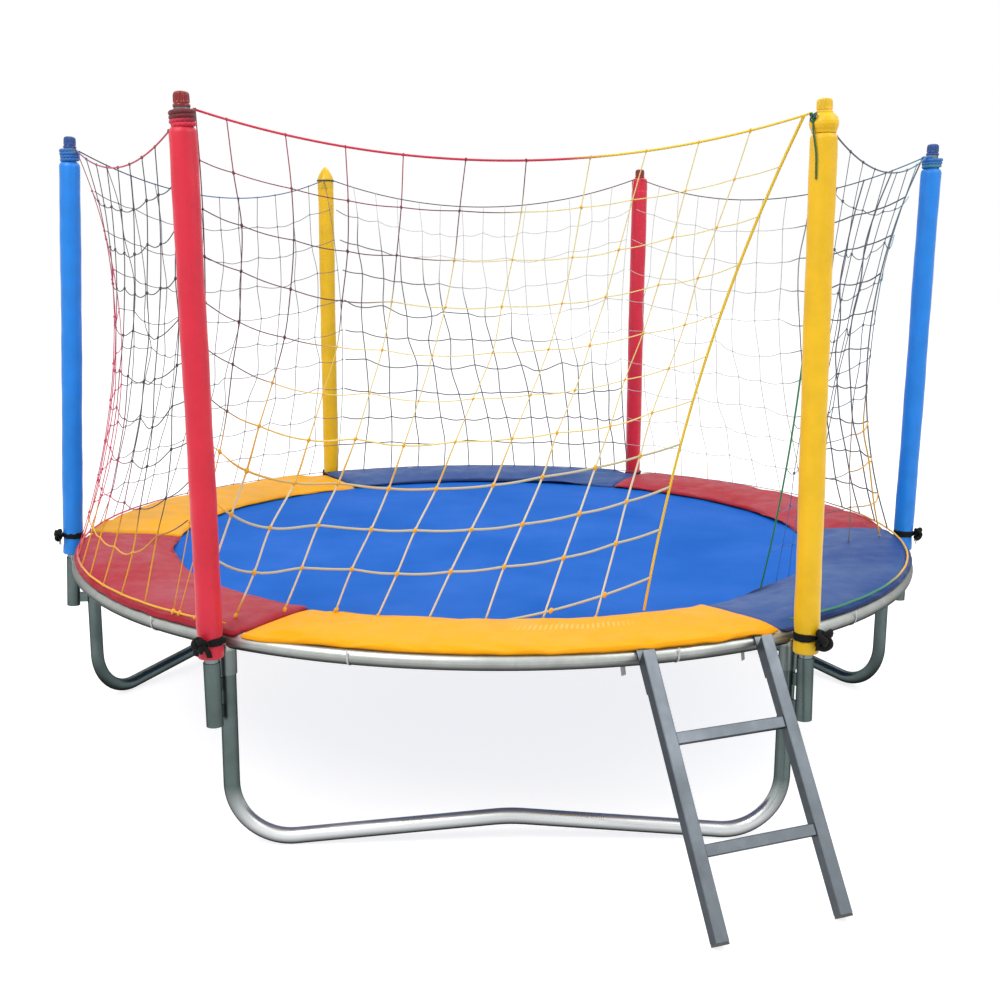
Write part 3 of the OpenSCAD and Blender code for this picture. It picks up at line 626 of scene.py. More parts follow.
def poleFrame(side):
    # the axis at the rim's height, and the ways out, along the rim and up
    foot, head = axisEnds("pole_" + sideNames[side])
    up = unit(head - foot)
    out = polar(1.0, poleAngles[side], 0.0)
    out = unit(out - up * (out @ up))
    return head - up * poleHeight, np.stack([out, np.cross(up, out), up])


poleFrames = [poleFrame(side) for side in range(6)]


def onPole(side, points):
    base, axes = poleFrames[side]
    return base + points @ axes


foam = dict(radius=0.029, bore=0.0171, crown=0.016, lip=0.005, rings=84, around=56, seed=5, fill=0.92)
foam.update(wave=0.0006, pinch=0.0022, pinchAt=0.0135, pinchWide=0.02)


def makeFoam(side, f, rng):
    # up the outer skin, over a rounded shoulder and back down the bore
    # the skin waves a little, and the strap pinches it
    radius, bore, crown = f["radius"], f["bore"], f["crown"]
    turn = np.linspace(0, np.pi / 2, 11)
    low = np.stack([radius - f["lip"] * (1 - np.sin(turn)), foamLow + f["lip"] * (1 - np.cos(turn))], -1)
    heights = np.linspace(foamLow + 0.007, foamHigh - crown, f["rings"])
    skin = np.stack([np.full_like(heights, radius), heights], -1)
    turn = turn[1:]
    shoulder = np.stack([bore + (radius - bore) * np.cos(turn), foamHigh - crown * (1 - np.sin(turn))], -1)
    inside = [(bore, foamHigh - 0.004), (bore, foamLow + 0.003), (bore + 0.001, foamLow)]
    profile = np.concatenate([low, skin, shoulder, inside])
    r, h = profile[:, :1], profile[:, 1:]
    theta = circle(f["around"])[None]
    a, b, c = rng.uniform(0, 6.3, 3)
    waves = np.sin(7 * h + theta + a) + 0.8 * np.sin(19 * h - 2 * theta + b)
    waves = waves + 0.4 * np.sin(61 * h + 3 * theta + c)
    pinch = np.exp(-(((h - f["pinchAt"]) / f["pinchWide"]) ** 4))
    r = r + ease(bore, radius, r) * (f["wave"] * waves - f["pinch"] * pinch)
    return ringMesh("foamSleeve_" + sideNames[side], onPole(side, polar(r, theta, h))[None], closed=True)


rng = np.random.default_rng(foam["seed"])
for side, name in enumerate(sideNames):
    sleeve = give(makeFoam(side, foam, rng), foamFinish[sideDye[side]], "frame", "foam_" + name)
print("foam sleeves made")

# caps: outlines as shares of the radius and of the height
cap = dict(radius=0.0178, height=0.033, flutes=14, fluteDepth=0.0016, around=112)
cap.update(hoodRadius=0.0297, hoodDrop=0.013)
cap["domed"] = [(0.01, 0), (1, 0), (1.03, 0.04), (1.03, 0.14), (1, 0.18), (0.9, 0.2), (0.9, 0.25)]
cap["domed"] += [(0.96, 0.28), (0.97, 0.34), (0.95, 0.72), (0.92, 0.82), (0.84, 0.9), (0.7, 0.955)]
cap["domed"] += [(0.5, 0.985), (0.25, 0.998), (0.01, 1)]
cap["pointed"] = [(0.8, 0), (0.985, 0), (1, 0.02), (1, 0.42), (0.96, 0.5), (0.84, 0.6), (0.66, 0.72)]
cap["pointed"] += [(0.46, 0.84), (0.28, 0.92), (0.12, 0.975), (0.01, 1)]


def makeCap(side, c):
    # a turned outline with hollow flutes round its skirt
    # the back left one is a plain hood that runs up to a point
    pointed = sideNames[side] == "back_left"
    base, radius = (foamHigh - c["hoodDrop"], c["hoodRadius"]) if pointed else (poleHeight, c["radius"])
    share = finer(c["pointed" if pointed else "domed"], 3)
    r, h = share[:, :1], share[:, 1:]
    theta = circle(c["around"])[None]
    skirt = ease(0.26, 0.36, h) * (1 - ease(0.78, 0.92, h))
    hollow = 0 if pointed else c["fluteDepth"] * skirt * (0.5 - 0.5 * np.cos(c["flutes"] * theta)) ** 0.7
    rings = polar(r * radius - hollow, theta, base + h * (poleHeight + c["height"] - base))
    return ringMesh("poleCap_" + sideNames[side], onPole(side, rings)[None])


for side, dye in enumerate(sideDye):
    give(makeCap(side, cap), capFinish[dye], "frame", "pole_caps_" + dye)
print("caps moulded")

# screen tones of the twine and the ropes
ropeTones = dict(red=(220, 34, 70), darkRed=(104, 16, 24), pink=(222, 58, 102), magenta=(150, 52, 120))
ropeTones.update(yellow=(255, 214, 44), gold=(246, 182, 36), orange=(252, 188, 40), straw=(255, 236, 150))
ropeTones.update(cream=(248, 243, 214), khaki=(206, 202, 170), pale=(216, 213, 202), silver=(150, 152, 158))
ropeTones.update(blue=(38, 112, 190), teal=(52, 132, 160), green=(34, 138, 84), darkGreen=(22, 92, 62))
ropeTones.update(slate=(72, 86, 104), grey=(96, 98, 106), dark=(58, 58, 66), plum=(92, 48, 66))
ropeDyes = {name: np.array(linear(tone)) for name, tone in ropeTones.items()}

# lashings: rope wound round the bare pole tops, with its ends tucked under; the back left one is slim
lashing = dict(turns=3.7, perTurn=44, around=12, lay=38, tuck=0.0055)
lashing["usual"] = dict(radius=0.0232, rope=0.0052, rise=0.031, base=-0.0005, bulge=1)
lashing["back_left"] = dict(radius=0.0312, rope=0.0017, rise=0.004, base=0.016, bulge=0)
lashing["dyes"] = [("teal", "blue"), ("darkRed", "red"), ("dark", "dark"), ("blue", "blue")]
lashing["dyes"] += [("red", "darkRed"), ("yellow", "yellow")]


def makeLashing(side, s):
    # a helix about the pole whose radius drops at both ends; the dye changes on the way up
    size = s.get(sideNames[side], s["usual"])
    t = np.linspace(0, 1, int(s["turns"] * s["perTurn"]))
    angle = 2 * np.pi * s["turns"] * t + 1.3 * side
    tuck = np.minimum(ease(0, 0.05, t), ease(0, 0.05, 1 - t))
    bulge = 0.0014 * np.sin(2.1 * angle + side) + 0.0016 * ease(0.35, 0.75, t)
    radius = size["radius"] + size["bulge"] * bulge - s["tuck"] * (1 - tuck)
    path = polar(radius, angle, foamHigh + size["base"] + size["rise"] * t)
    low, high = (ropeDyes[dye] for dye in s["dyes"][side])
    tint = mix(low, high, ease(0.3, 0.42, t))[None]
    out = polar(1.0, angle, 0.0)
    rings = sweep(path[None], out[None], size["rope"], around=s["around"], lobes=3, lay=s["lay"])
    return ringMesh("lashing_" + sideNames[side], onPole(side, rings[0])[None], tint=tint)


# outlines of the wrapped tops: radius, and height above the sleeve
wrap = dict(around=56, dent=0.0004)
wrap["front_right"] = [(0.0175, -0.002), (0.0262, -0.002), (0.0268, 0.003), (0.0292, 0.008), (0.0312, 0.015)]
wrap["front_right"] += [(0.031, 0.022), (0.0286, 0.03), (0.0236, 0.036), (0.0175, 0.039)]
wrap["back_right"] = [(0.0175, -0.012), (0.0284, -0.012), (0.0292, -0.009), (0.0294, 0.006)]
wrap["back_right"] += [(0.0292, 0.022), (0.0282, 0.029), (0.0252, 0.034), (0.0175, 0.037)]


def makeWrap(side, w):
    # a turn of the sleeve's own foam over the lashing, straight or bulging, and in to the cap
    outline = finer(w[sideNames[side]], 4)
    r, h = outline[:, :1], outline[:, 1:]
    theta = circle(w["around"])[None]
    dents = w["dent"] * np.sin(3 * theta + 90 * h) * ease(0.02, 0.028, r)
    return ringMesh("lashing_" + sideNames[side], onPole(side, polar(r + dents, theta, foamHigh + h))[None])


for side, name in enumerate(sideNames):
    obj = makeWrap(side, wrap) if name in wrap else makeLashing(side, lashing)
    finish = foamFinish[sideDye[side]] if name in wrap else ropeFinish
    give(obj, finish, "frame", "pole_lashings")
print("lashings wound")

# the loose green end at the front right pole's top, hanging from its knot beside the sleeve
ropeTail = dict(side=5, angle=math.radians(-93), turn=math.radians(20), rope=0.0021, drop=0.128, high=0.03)
ropeTail.update(radius=0.0316, knotRadius=0.0322, knot=0.0034, steps=60, knotSteps=90, around=10)


def makeRopeTail(s):
    # from a knot on the wrapped top, over the sleeve's shoulder and down beside it
    side, around, dye = s["side"], s["around"], ropeDyes["darkGreen"]
    t = np.linspace(0, 1, s["steps"])
    radius = s["radius"] + 0.0026 * np.sin(3 * t) - 0.0012 * ease(0.2, 0.6, t)
    angle = s["angle"] + s["turn"] * ease(0, 0.7, t)
    path = onPole(side, polar(radius, angle, foamHigh + s["high"] - s["drop"] * t))
    across = unit(path - onPole(side, np.array([0, 0, 1.0])))
    rings = sweep(path[None], across[None], s["rope"], around=around)
    tint = np.broadcast_to(dye, (1, s["steps"], 3))
    obj = give(ringMesh("lashingTail", rings, tint=tint), ropeFinish, "frame")
    # the knot above it: an overhand loop, drawn up tight
    loop = s["knot"] * trefoil(np.linspace(0, 2 * np.pi, s["knotSteps"], endpoint=False), 1)
    middle = polar(s["knotRadius"], s["angle"], foamHigh + s["high"])
    loop = onPole(side, turned(loop, s["angle"]) + middle)
    rings = sweep(loop[None], across[0], s["rope"], around=around, closed=True)
    tint = np.broadcast_to(dye, (1, s["knotSteps"], 3))
    knot = give(ringMesh("tailKnot", rings, closed=True, tint=tint), ropeFinish, "frame")


makeRopeTail(ropeTail)

# straps: a webbing band round each sleeve at the rim, knotted on the outside, with two short ends
strap = dict(inner=0.0272, thick=0.0024, low=0.003, high=0.021, steps=96, seed=8)
strap.update(knot=0.0047, knotOut=0.0422, knotThick=0.0046, webbing=0.0072)
strap.update(tail=0.034, tailOut=0.0405, tailThick=0.0012, tailWidth=0.0078)
strap["turn"] = np.radians([-14, 0, 0, 20, 10, 12])
strap["lift"] = [0.012, 0, 0, 0.018, 0, 0]
strap["bulk"] = [1.1, 1, 1, 1, 1, 1.4]


def strapBand(side, s):
    # a flat ring that narrows to about half its height at the knot, with a slight roll at its edges
    theta = circle(s["steps"])
    narrow = np.exp(-((np.abs(np.angle(np.exp(1j * theta))) / 0.5) ** 2))
    middle, half = (s["low"] + s["high"]) / 2, (s["high"] - s["low"]) / 2 * (1 - 0.55 * narrow)
    across = np.array([-1, -0.6, 0, 0.6, 1, 1, 0.6, 0, -0.6, -1])
    thick = s["thick"] * np.array([0, 0, 0, 0, 0, 0.7, 1, 1.1, 1, 0.7])
    ripple = 0.0006 * np.sin(9 * theta + side)[:, None] * across
    radius = s["inner"] + thick[None] + ripple + 0.002 * narrow[:, None]
    rings = polar(radius, theta[:, None] + s["turn"][side], middle + half[:, None] * across[None])
    return onPole(side, rings + (0, 0, s["lift"][side]))[None]


def strapKnot(side, s):
    bulk = s["bulk"][side]
    path = trefoil(np.linspace(0, 2 * np.pi, 120, endpoint=False) + 0.7 * side, -1.6)
    middle = s["knotOut"] + 0.009 * (bulk - 1), 0, (s["low"] + s["high"]) / 2 + s["lift"][side]
    path = s["knot"] * bulk * path + middle
    rings = sweep(path[None], (1, 0, 0), s["knotThick"] * bulk, s["webbing"] * bulk, around=10, closed=True)
    return onPole(side, turned(rings[0], s["turn"][side]))[None]


def strapTails(side, s, rng):
    # two flat ends that leave the knot, bend over and hang beside the sleeve
    t = np.linspace(0, 1, 22)
    paths = []
    for way in (-1, 1):
        reach, swing = rng.uniform(0.008, 0.013), rng.uniform(0.010, 0.02)
        drop = s["tail"] * rng.uniform(0.7, 1.0)
        out = s["tailOut"] + reach * np.sin(np.pi * np.minimum(1, 1.35 * t)) * 0.8 - 0.004 * t
        z = 0.012 + 0.004 * np.sin(np.pi * t) - drop * t**1.6
        paths.append(np.stack([out, way * (0.004 + swing * t**0.8), z], -1))
    paths = np.array(paths) + (0, 0, s["lift"][side])
    rings = sweep(paths, (1, 0, 0), s["tailThick"], s["tailWidth"], around=10)
    return onPole(side, turned(rings, s["turn"][side]))


rng = np.random.default_rng(strap["seed"])
for side, name in enumerate(sideNames):
    parts = [
        ringMesh("strapBand_" + name, strapBand(side, strap), closed=True),
        ringMesh("strapKnot_" + name, strapKnot(side, strap), closed=True),
        ringMesh("strapEnds_" + name, strapTails(side, strap, rng)),
    ]
    for part in parts:
        give(part, strapFinish, "frame", "pole_straps")
print("straps knotted")

# net: knotted twine in six panels, between a sagging head rope and a foot rope round the rim
net = dict(rows=10, columns=[12, 14, 12, 9, 11, 9], around=6, steps=6, seed=21, jitter=0.085, slack=0.005)
net["slots"] = ["net_dark", "net_dark", "net_dark", "net_red", "net_yellow", "net_green"]
net["loose"] = [1, 1, 1, 0.8, 0.3, 1]
# radii of the twine and the knots in each panel, and what thicker twine adds
net["twine"] = [0.0011, 0.0011, 0.0012, 0.0013, 0.0013, 0.0012]
net["knot"] = [0.0026, 0.0026, 0.0028, 0.0034, 0.0036, 0.003]
net.update(lowUprights=0.0013, lowLevels=0.0017, lowKnots=0.0026, unbleached=0.0011, lowGold=0.0006)
net.update(rightGold=0.0011, entryThin=0.0003)
# the front panel's columns where they are tied at its foot and head, and how far they bow between
net["footColumns"] = [0, 1.0, 2.1, 3.1, 3.88, 4.82, 5.93, 7.1, 8.22, 9.25, 10.17, 11]
net["headColumns"] = [0, 0.55, 1.59, 2.66, 3.7, 4.83, 5.93, 7.1, 8.12, 9.08, 10.02, 11]
net.update(bow=0.5, climb=0.105, lean=0.11, rise=0.09, lastFrom=0.76, lastRise=0.078)
# the sheet's own shape: sag of the head ropes, and how far it hangs in
net["sag"] = [0.096, 0.1, 0.096, 0.078, 0.1, 0.078]
net.update(pullPole=0.11, pullFrontLeft=0.06, pullMid=0.052, entryTrim=0.014)
net.update(footRadius=1.222, tuckRadius=0.9556, tuckZ=0.003, footTurn=math.radians(8), backDrop=0.0055)
entry = dict(left=math.radians(290.05), right=math.radians(313.95), pullLeft=0.07, pullRight=-0.035)
footZ = (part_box("net_foot_rope")[0].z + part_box("net_foot_rope")[1].z) / 2
tieOut, tieUp = 0.02805, foamHigh + np.array([0.03, 0.03, 0.02, 0.03, 0.034, 0.04])


def tiePoint(side, towards):
    # on the lashing, on the side that faces the other pole
    base, axes = poleFrames[side % 6]
    top = base + tieUp[side % 6] * axes[2]
    way = poleFrames[towards % 6][0] - base
    return top + tieOut * unit(unit(way) - 0.8 * axes[0])


def headPoint(span, t):
    # an arc in the upright plane through two pole tops, sagging below the straight line between them
    a, b, sag = tiePoint(span, span + 1), tiePoint(span + 1, span), net["sag"][span]
    half = np.linalg.norm(b - a) / 2
    r = (half**2 + sag**2) / 2 / sag
    x = (2 * t - 1) * half
    points = mix(a, b, t)
    points[..., 2] += r - np.sqrt(r * r - x * x) - sag
    return points


def backDrop(angle):
    # how much lower the net's foot lies along the back pads
    turn = np.degrees(angle) % 360
    return net["backDrop"] * ease(10, 50, turn) * (1 - ease(140, 176, turn))


def footPoint(span, u):
    # on the rim, except on both sides of the entry, where the foot is tucked in under the pads' inner edge
    a = poleAngles[span] - (net["footTurn"] if span == frontSpan else 0)
    b = poleAngles[(span + 1) % 6] - (net["footTurn"] if span + 1 == frontSpan else 0)
    way, tuck = u, np.zeros_like(u)
    if span == frontSpan:
        b, way, tuck = entry["left"], np.maximum(u, 0) ** 1.7, ease(0.2, 0.47, u)
    if span == rightFrontSpan:
        a, b, tuck = entry["right"], b + 2 * np.pi, 1 - ease(0.6, 1, u)
    radius = net["footRadius"] + (net["tuckRadius"] - net["footRadius"]) * tuck
    angle = a + (b - a) * way
    low = net["tuckZ"]
    return polar(radius, angle, low + (footZ - backDrop(angle) - low) * (1 - tuck**12))


def netPull(span, u):
    # least in the middle of a span, most beside the poles, and fitted at the two entry ropes
    beside = span in (frontSpan, rightFrontSpan)
    low = {frontSpan: net["pullFrontLeft"], rightFrontSpan: entry["pullRight"]}.get(span, net["pullPole"])
    high = {leftFrontSpan: net["pullFrontLeft"], frontSpan: entry["pullLeft"]}.get(span, net["pullPole"])
    middle = net["pullMid"] / (2 if beside else 1)
    return middle + (np.where(u < 0.5, low, high) - middle) * (2 * u - 1) ** 2


def netPoint(span, u, v):
    # u runs along a span and v up from the net's foot; the sheet hangs in most at half height
    u, v = np.broadcast_arrays(np.asarray(u, float), np.asarray(v, float))
    trim = net["entryTrim"] / np.linalg.norm(tiePoint(span + 1, span) - tiePoint(span, span + 1))
    headFrom = trim if span == rightFrontSpan else 0
    headTo = 1 - trim if span == frontSpan else 1
    p = mix(footPoint(span, u), headPoint(span, headFrom + (headTo - headFrom) * u), v)
    return p - unit(p * (1, 1, 0)) * (4 * netPull(span, u) * v * (1 - v))[..., None]


def lowGold(u, v):
    # the left front panel's foot towards the front, where thicker gold twine is tied in
    return (1 - ease(0.12, 0.2, v)) * ease(0.26, 0.4, u)


def rightGold(u, v):
    # the right front panel's last columns beside the right pole, low down
    return ease(0.74, 0.88, u) * (1 - ease(0.3, 0.42, v))


def paleShare(span, u, v):
    # bleached twine: the back panel's upper right corner, and the right back panel away from the right pole
    if span == backSpan:
        return ease(-0.06, 0.12, v - 0.3 - 0.62 * u)
    return ease(0.3, 0.45, u) + 0 * v


def pastPlum(u, v):
    # how far the front panel's twine is past the slanted edge of its plum corner
    return u - 0.91 * v + 0.27


def netDye(span, u, v, level=False):
    # each panel's own dyes, fading into one another along u and v, with a painted highlight low on the front
    # panel
    d = ropeDyes
    u, v = np.broadcast_arrays(u, v)
    if span == frontSpan:
        gold = mix(d["gold"], d["straw"], ease(0.15, 0.4, u) * ease(0.3, 0.42, v))
        gold = mix(d["plum"], gold, ease(-0.05, 0.05, pastPlum(u, v)))
        colour = mix(gold, d["pink"], 0.5 * ease(0.84, 0.97, v) * (1 - ease(0.35, 0.5, u)))
        # the cream and khaki low on the front panel, over the mat, are a painted highlight on the twine
        low = (1 - ease(0.27, 0.34, v - 0.1 * ease(0.5, 1, u))) * ease(0.16, 0.2, u)
        return mix(colour, d["khaki" if level else "cream"], low * ease(0.03, 0.06, v + 0.35 * (u - 0.27)))
    if span == leftFrontSpan:
        colour = mix(d["pink"], d["dark"], ease(0.25, 0.6, u + 0.9 * (v - 0.45)))
        return mix(colour, d["gold"], lowGold(u, v))
    if span == rightFrontSpan:
        colour = mix(d["slate"], d["teal"], ease(0.72, 0.98, u) * ease(0.45, 0.7, v))
        colour = mix(colour, d["blue"], (1 - ease(0.14, 0.3, v)) * (1 - ease(0.35, 0.5, u)))
        return mix(colour, d["gold"], rightGold(u, v))
    if span in (rightBackSpan, backSpan):
        return mix(d["grey"], d["pale"], 0.04 + 0.9 * paleShare(span, u, v))
    back = mix(d["grey"], d["silver"], np.full(u.shape, 0.25))
    return mix(back, d["plum"], ease(0.7, 1, u) * 0.6)


def netGrid(span, n, rng):
    # knots: an even grid on the panel, each moved a little along it, except at its edges
    count, rows, loose = n["columns"][span], n["rows"], n["loose"][span]
    k = np.arange(count + 1)[:, None]
    j = np.arange(rows + 1)[None]
    du, dv = loose * rng.normal(0, n["jitter"], (2, count + 1, rows + 1)).clip(-0.2, 0.2)
    drift = 0.12 * loose * np.cumsum(rng.normal(0, 0.5, (count + 1, rows + 1)), 1).clip(-1.5, 1.5)
    inside = ((k > 0) & (k < count)) * np.sin(np.pi * j / rows) ** 0.5
    u = (k + inside * (du + drift)) / count
    v = (j + inside * dv) / rows
    if span == backSpan:
        # the back panel's foot is drawn to the right, most in its middle
        u = u - n["lean"] * (1 - ease(0, 0.8, v)) * np.sin(np.pi * u)
    if span in (leftFrontSpan, frontSpan):
        # beside the front left pole the rows climb, less towards the head
        near = np.clip(1 - (k / 3 if span == frontSpan else (count - k) / 2), 0, 1)
        v = v + n["climb"] * near * (1 - v) * (j > 0)
    if span == frontSpan:
        # columns slide to where they are tied and bow between
        # the rows climb with the square of the way to the entry
        foot, head = (np.array(n[end + "Columns"])[:, None] - k for end in ("foot", "head"))
        bow = n["bow"] * np.sin(np.pi * v**1.3) * np.interp(k, [0, 1, 2, 7, 11], [0, 0.7, 1, 0.95, 0])
        u = u + (foot * (1 - v) + head * v + bow) / count
        v = v + n["rise"] * (1 - v) * (j > 0) * np.clip((u - 0.45) / 0.55, 0, 1) ** 2
    return u, v


def lastRow(n, count):
    # one more level strand at the front panel's foot, which starts at the pad and climbs to the entry rope
    u = np.linspace(n["lastFrom"], 1, count)
    return u, n["lastRise"] * ((u - n["lastFrom"]) / (1 - n["lastFrom"])) ** 1.25


def twineWidth(span, u, v, level, n):
    width = np.full(u.shape, n["twine"][span])
    if span == frontSpan:
        thicker = n["lowLevels" if level else "lowUprights"]
        return width + thicker * (1 - ease(0.3, 0.5, v)) * ease(0.1, 0.2, u)
    if span in (rightBackSpan, backSpan):
        return width + n["unbleached"] * (1 - paleShare(span, u, v))
    if span == leftFrontSpan:
        return width + n["lowGold"] * lowGold(u, v)
    if span == rightFrontSpan:
        return width + n["rightGold"] * rightGold(u, v) - n["entryThin"] * (1 - ease(0.3, 0.5, u))
    return width


def makeStrands(span, n, kind, paths, grid, normal):
    # twine along the paths, whose u and v are spread evenly between the knots
    fine = np.linspace(0, grid[0].shape[1] - 1, paths.shape[1])
    u, v = (np.array([np.interp(fine, np.arange(g.shape[1]), row) for row in g]) for g in grid)
    level = kind == "levels"
    if level and span == frontSpan:
        extra = lastRow(n, paths.shape[1])
        u, v = (np.concatenate([a, e[None]]) for a, e in zip((u, v), extra))
        paths = np.concatenate([paths, netPoint(span, *extra)[None]])
    rings = sweep(paths, normal, twineWidth(span, u, v, level, n), around=n["around"])
    return ringMesh("net_%s_%s" % (spanNames[span], kind), rings, tint=netDye(span, u, v, level))


def makeKnots(span, n, u, v, points, along, normal, rng):
    # a knot is a small barrel along the upright, thicker in its middle
    spots, along = points.reshape(-1, 3), along.reshape(-1, 3)
    u, v = u.reshape(-1, 1), v.reshape(-1, 1)
    if span == frontSpan:
        # two more, where the last level strand crosses uprights
        extra = lastRow(n, 25)
        u, v = (np.concatenate([a, e[[9, 17], None]]) for a, e in zip((u, v), extra))
        spots = np.concatenate([spots, netPoint(span, u[-2:, 0], v[-2:, 0])])
        along = np.concatenate([along, along[-22::11][:2]])
    along = unit(along + rng.normal(0, 0.02, spots.shape))
    t = np.array([-1, -0.7, 0, 0.7, 1])
    size = n["knot"][span] * rng.uniform(0.8, 1.15, (len(spots), 1))
    tint = netDye(span, u, v)
    if span == frontSpan:
        size += n["lowKnots"] * (1 - ease(0.3, 0.5, v))
        tint = mix(tint, ropeDyes["orange"], ease(-0.05, 0.1, pastPlum(u, v)))
    paths = spots[:, None] + along[:, None] * (t * 1.15)[None, :, None] * size[:, :, None]
    width = size * np.array([0.35, 0.8, 1, 0.8, 0.35])[None]
    rings = sweep(paths, normal, width, 0.85 * width, around=6)
    return ringMesh("net_%s_knots" % spanNames[span], rings, tint=np.repeat(tint, len(t), 1))


def makePanel(span, n, rng):
    u, v = netGrid(span, n, rng)
    points = netPoint(span, u, v)
    normal = polar(1.0, poleAngles[span] + math.radians(30), 0.0)
    # the last upright is the next panel's first, and those beside the entry are the entry ropes
    tied = slice(1 if span == rightFrontSpan else 0, -1)
    uprights = smoothPath(points[tied], n["steps"])
    levels = smoothPath(points[:, 1:-1].transpose(1, 0, 2), n["steps"])
    # level strands sag a little between their knots
    sagging = np.sin(np.pi * (np.arange(levels.shape[1]) % n["steps"]) / n["steps"])
    slack = n["slack"] * (0.4 if span == frontSpan else 1)
    levels[..., 2] -= slack * sagging * (0.4 + 1.2 * rng.random((len(levels), 1)))
    pieces = [
        makeStrands(span, n, "uprights", uprights, (u[tied], v[tied]), normal),
        makeStrands(span, n, "levels", levels, (u[:, 1:-1].T, v[:, 1:-1].T), normal),
        makeKnots(span, n, u[tied], v[tied], points[tied], np.gradient(points, axis=1)[tied], normal, rng),
    ]
    for piece in pieces:
        give(piece, twine, "frame", "net_" + spanNames[span])


rng = np.random.default_rng(net["seed"])
for span in range(6):
    makePanel(span, net, rng)
print("net panels knotted")

# ropes: radii, and dyes at given shares of the way
rope = dict(foot=0.0028, backThin=0.0015, around=12, lay=46)
rope["head"] = [0.0019, 0.0019, 0.0019, 0.0021, 0.0026, 0.002]
headStops = [
    [(0, "teal"), (0.2, "slate"), (1, "darkRed")],
    [(0, "darkRed"), (0.3, "dark"), (1, "dark")],
    [(0, "dark"), (0.5, "blue"), (1, "dark")],
    [(0, "blue"), (0.12, "magenta"), (0.4, "pink"), (1, "red")],
    [(0, "red"), (0.6, "red"), (0.68, "yellow"), (1, "yellow")],
    [(0, "dark"), (0.6, "slate"), (1, "teal")],
]
footStops = [(0, "green"), (0.07, "green"), (0.1, "gold"), (0.2, "gold"), (0.26, "grey"), (0.5, "grey")]
footStops += [(0.58, "darkRed"), (0.7, "darkRed"), (0.76, "pink"), (0.86, "pink"), (0.9, "gold"), (1, "gold")]
leftStops = [(0, "gold"), (0.12, "yellow"), (1, "yellow")]
rightStops = [(0, "green"), (0.45, "green"), (0.75, "slate"), (1, "green")]


def dyedAlong(stops, t):
    # colours at given shares of the way, fading between
    where = [s for s, _ in stops]
    colours = np.array([ropeDyes[c] for _, c in stops])
    return np.stack([np.interp(t, where, colours[:, k]) for k in range(3)], -1)[None]


def layRope(name, path, out, radius, stops):
    t = np.linspace(0, 1, len(path))
    rings = sweep(path[None], out, radius, around=rope["around"], lobes=3, lay=rope["lay"])
    return give(ringMesh(name, rings, tint=dyedAlong(stops, t)), ropeFinish, "frame")


for span, name in enumerate(spanNames):
    path = headPoint(span, np.linspace(-0.004, 1.002, 420))
    obj = layRope("headRope_" + name, path, (0, 0, 1), rope["head"][span], headStops[span])
    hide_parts("net_head_ropes")
t = np.linspace(0, 1, 2200)
around = poleAngles[rightFrontSpan] + t * (2 * np.pi + poleAngles[frontSpan] - poleAngles[rightFrontSpan])
path = polar(net["footRadius"], around, footZ - backDrop(around) + 0.0004 * np.sin(60 * around))
footWidth = rope["foot"] - rope["backThin"] * ease(0.2, 0.3, t) * (1 - ease(0.68, 0.78, t))
obj = layRope("footRope", path, (0, 0, 1), footWidth, footStops)
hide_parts("net_foot_rope")
edges = [("left", frontSpan, 1.0, 0.0034, leftStops, "net_yellow")]
edges += [("right", rightFrontSpan, 0.0, 0.0024, rightStops, "net_green")]
for name, span, u, radius, stops, slot in edges:
    path = netPoint(span, u, np.linspace(0.008, 1, 520))
    obj = layRope("entryRope_" + name, path, polar(1.0, poleAngles[rightFrontSpan], 0.0), radius, stops)
    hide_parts("net_entry_rope_" + name)
print("ropes laid")

# edge pads: coated cloth round a thin foam strip, slack on top, sewn shut at the ends
pad = dict(inner=0.955, ramp=1.056, outer=1.238, seat=0.01, low=0.0008, gap=0.0006, end=0.014, stations=96)
pad.update(fold=0.0042, folds=7, wander=0.0022, cap=0.006, frames=18, seed=3, fill=0.45)
pad["dyes"] = ["red", "blue", "yellow", "red", "yellow", "blue"]
pad["cloth"] = dict(quality=5, mass=0.2, tension_stiffness=8, compression_stiffness=8, bending_stiffness=0.3)
pad["cloth"].update(shrink_min=-0.035, use_pressure=True, uniform_pressure_force=1.2)
pad["cloth"]["vertex_group_mass"] = "sewn"


def padSection(p):
    # the strip cut across: under edge inwards, up the inner edge, and back out over the top
    inner, ramp, outer, seat, low = (p[k] for k in ("inner", "ramp", "outer", "seat", "low"))
    top = padTop - 0.003
    corners = [(outer, seat + 0.004), (outer - 0.002, seat - 0.002), (rimRadius + 0.002, seat)]
    corners += [(1.16, seat), (1.1, seat), (ramp, seat), (1.0, 0.0052), (inner + 0.008, low)]
    corners += [(inner, low + 0.002), (inner + 0.001, low + 0.006), (inner + 0.012, low + 0.0105)]
    corners += [(1.0, 0.0158), (1.046, top), (1.1, top + 0.001), (1.16, top + 0.001), (1.21, top)]
    loop = np.array(corners + [(1.231, top - 0.004)])
    for _ in range(2):
        after = np.roll(loop, -1, 0)
        loop = np.stack([0.75 * loop + 0.25 * after, 0.25 * loop + 0.75 * after], 1).reshape(-1, 2)
    return loop


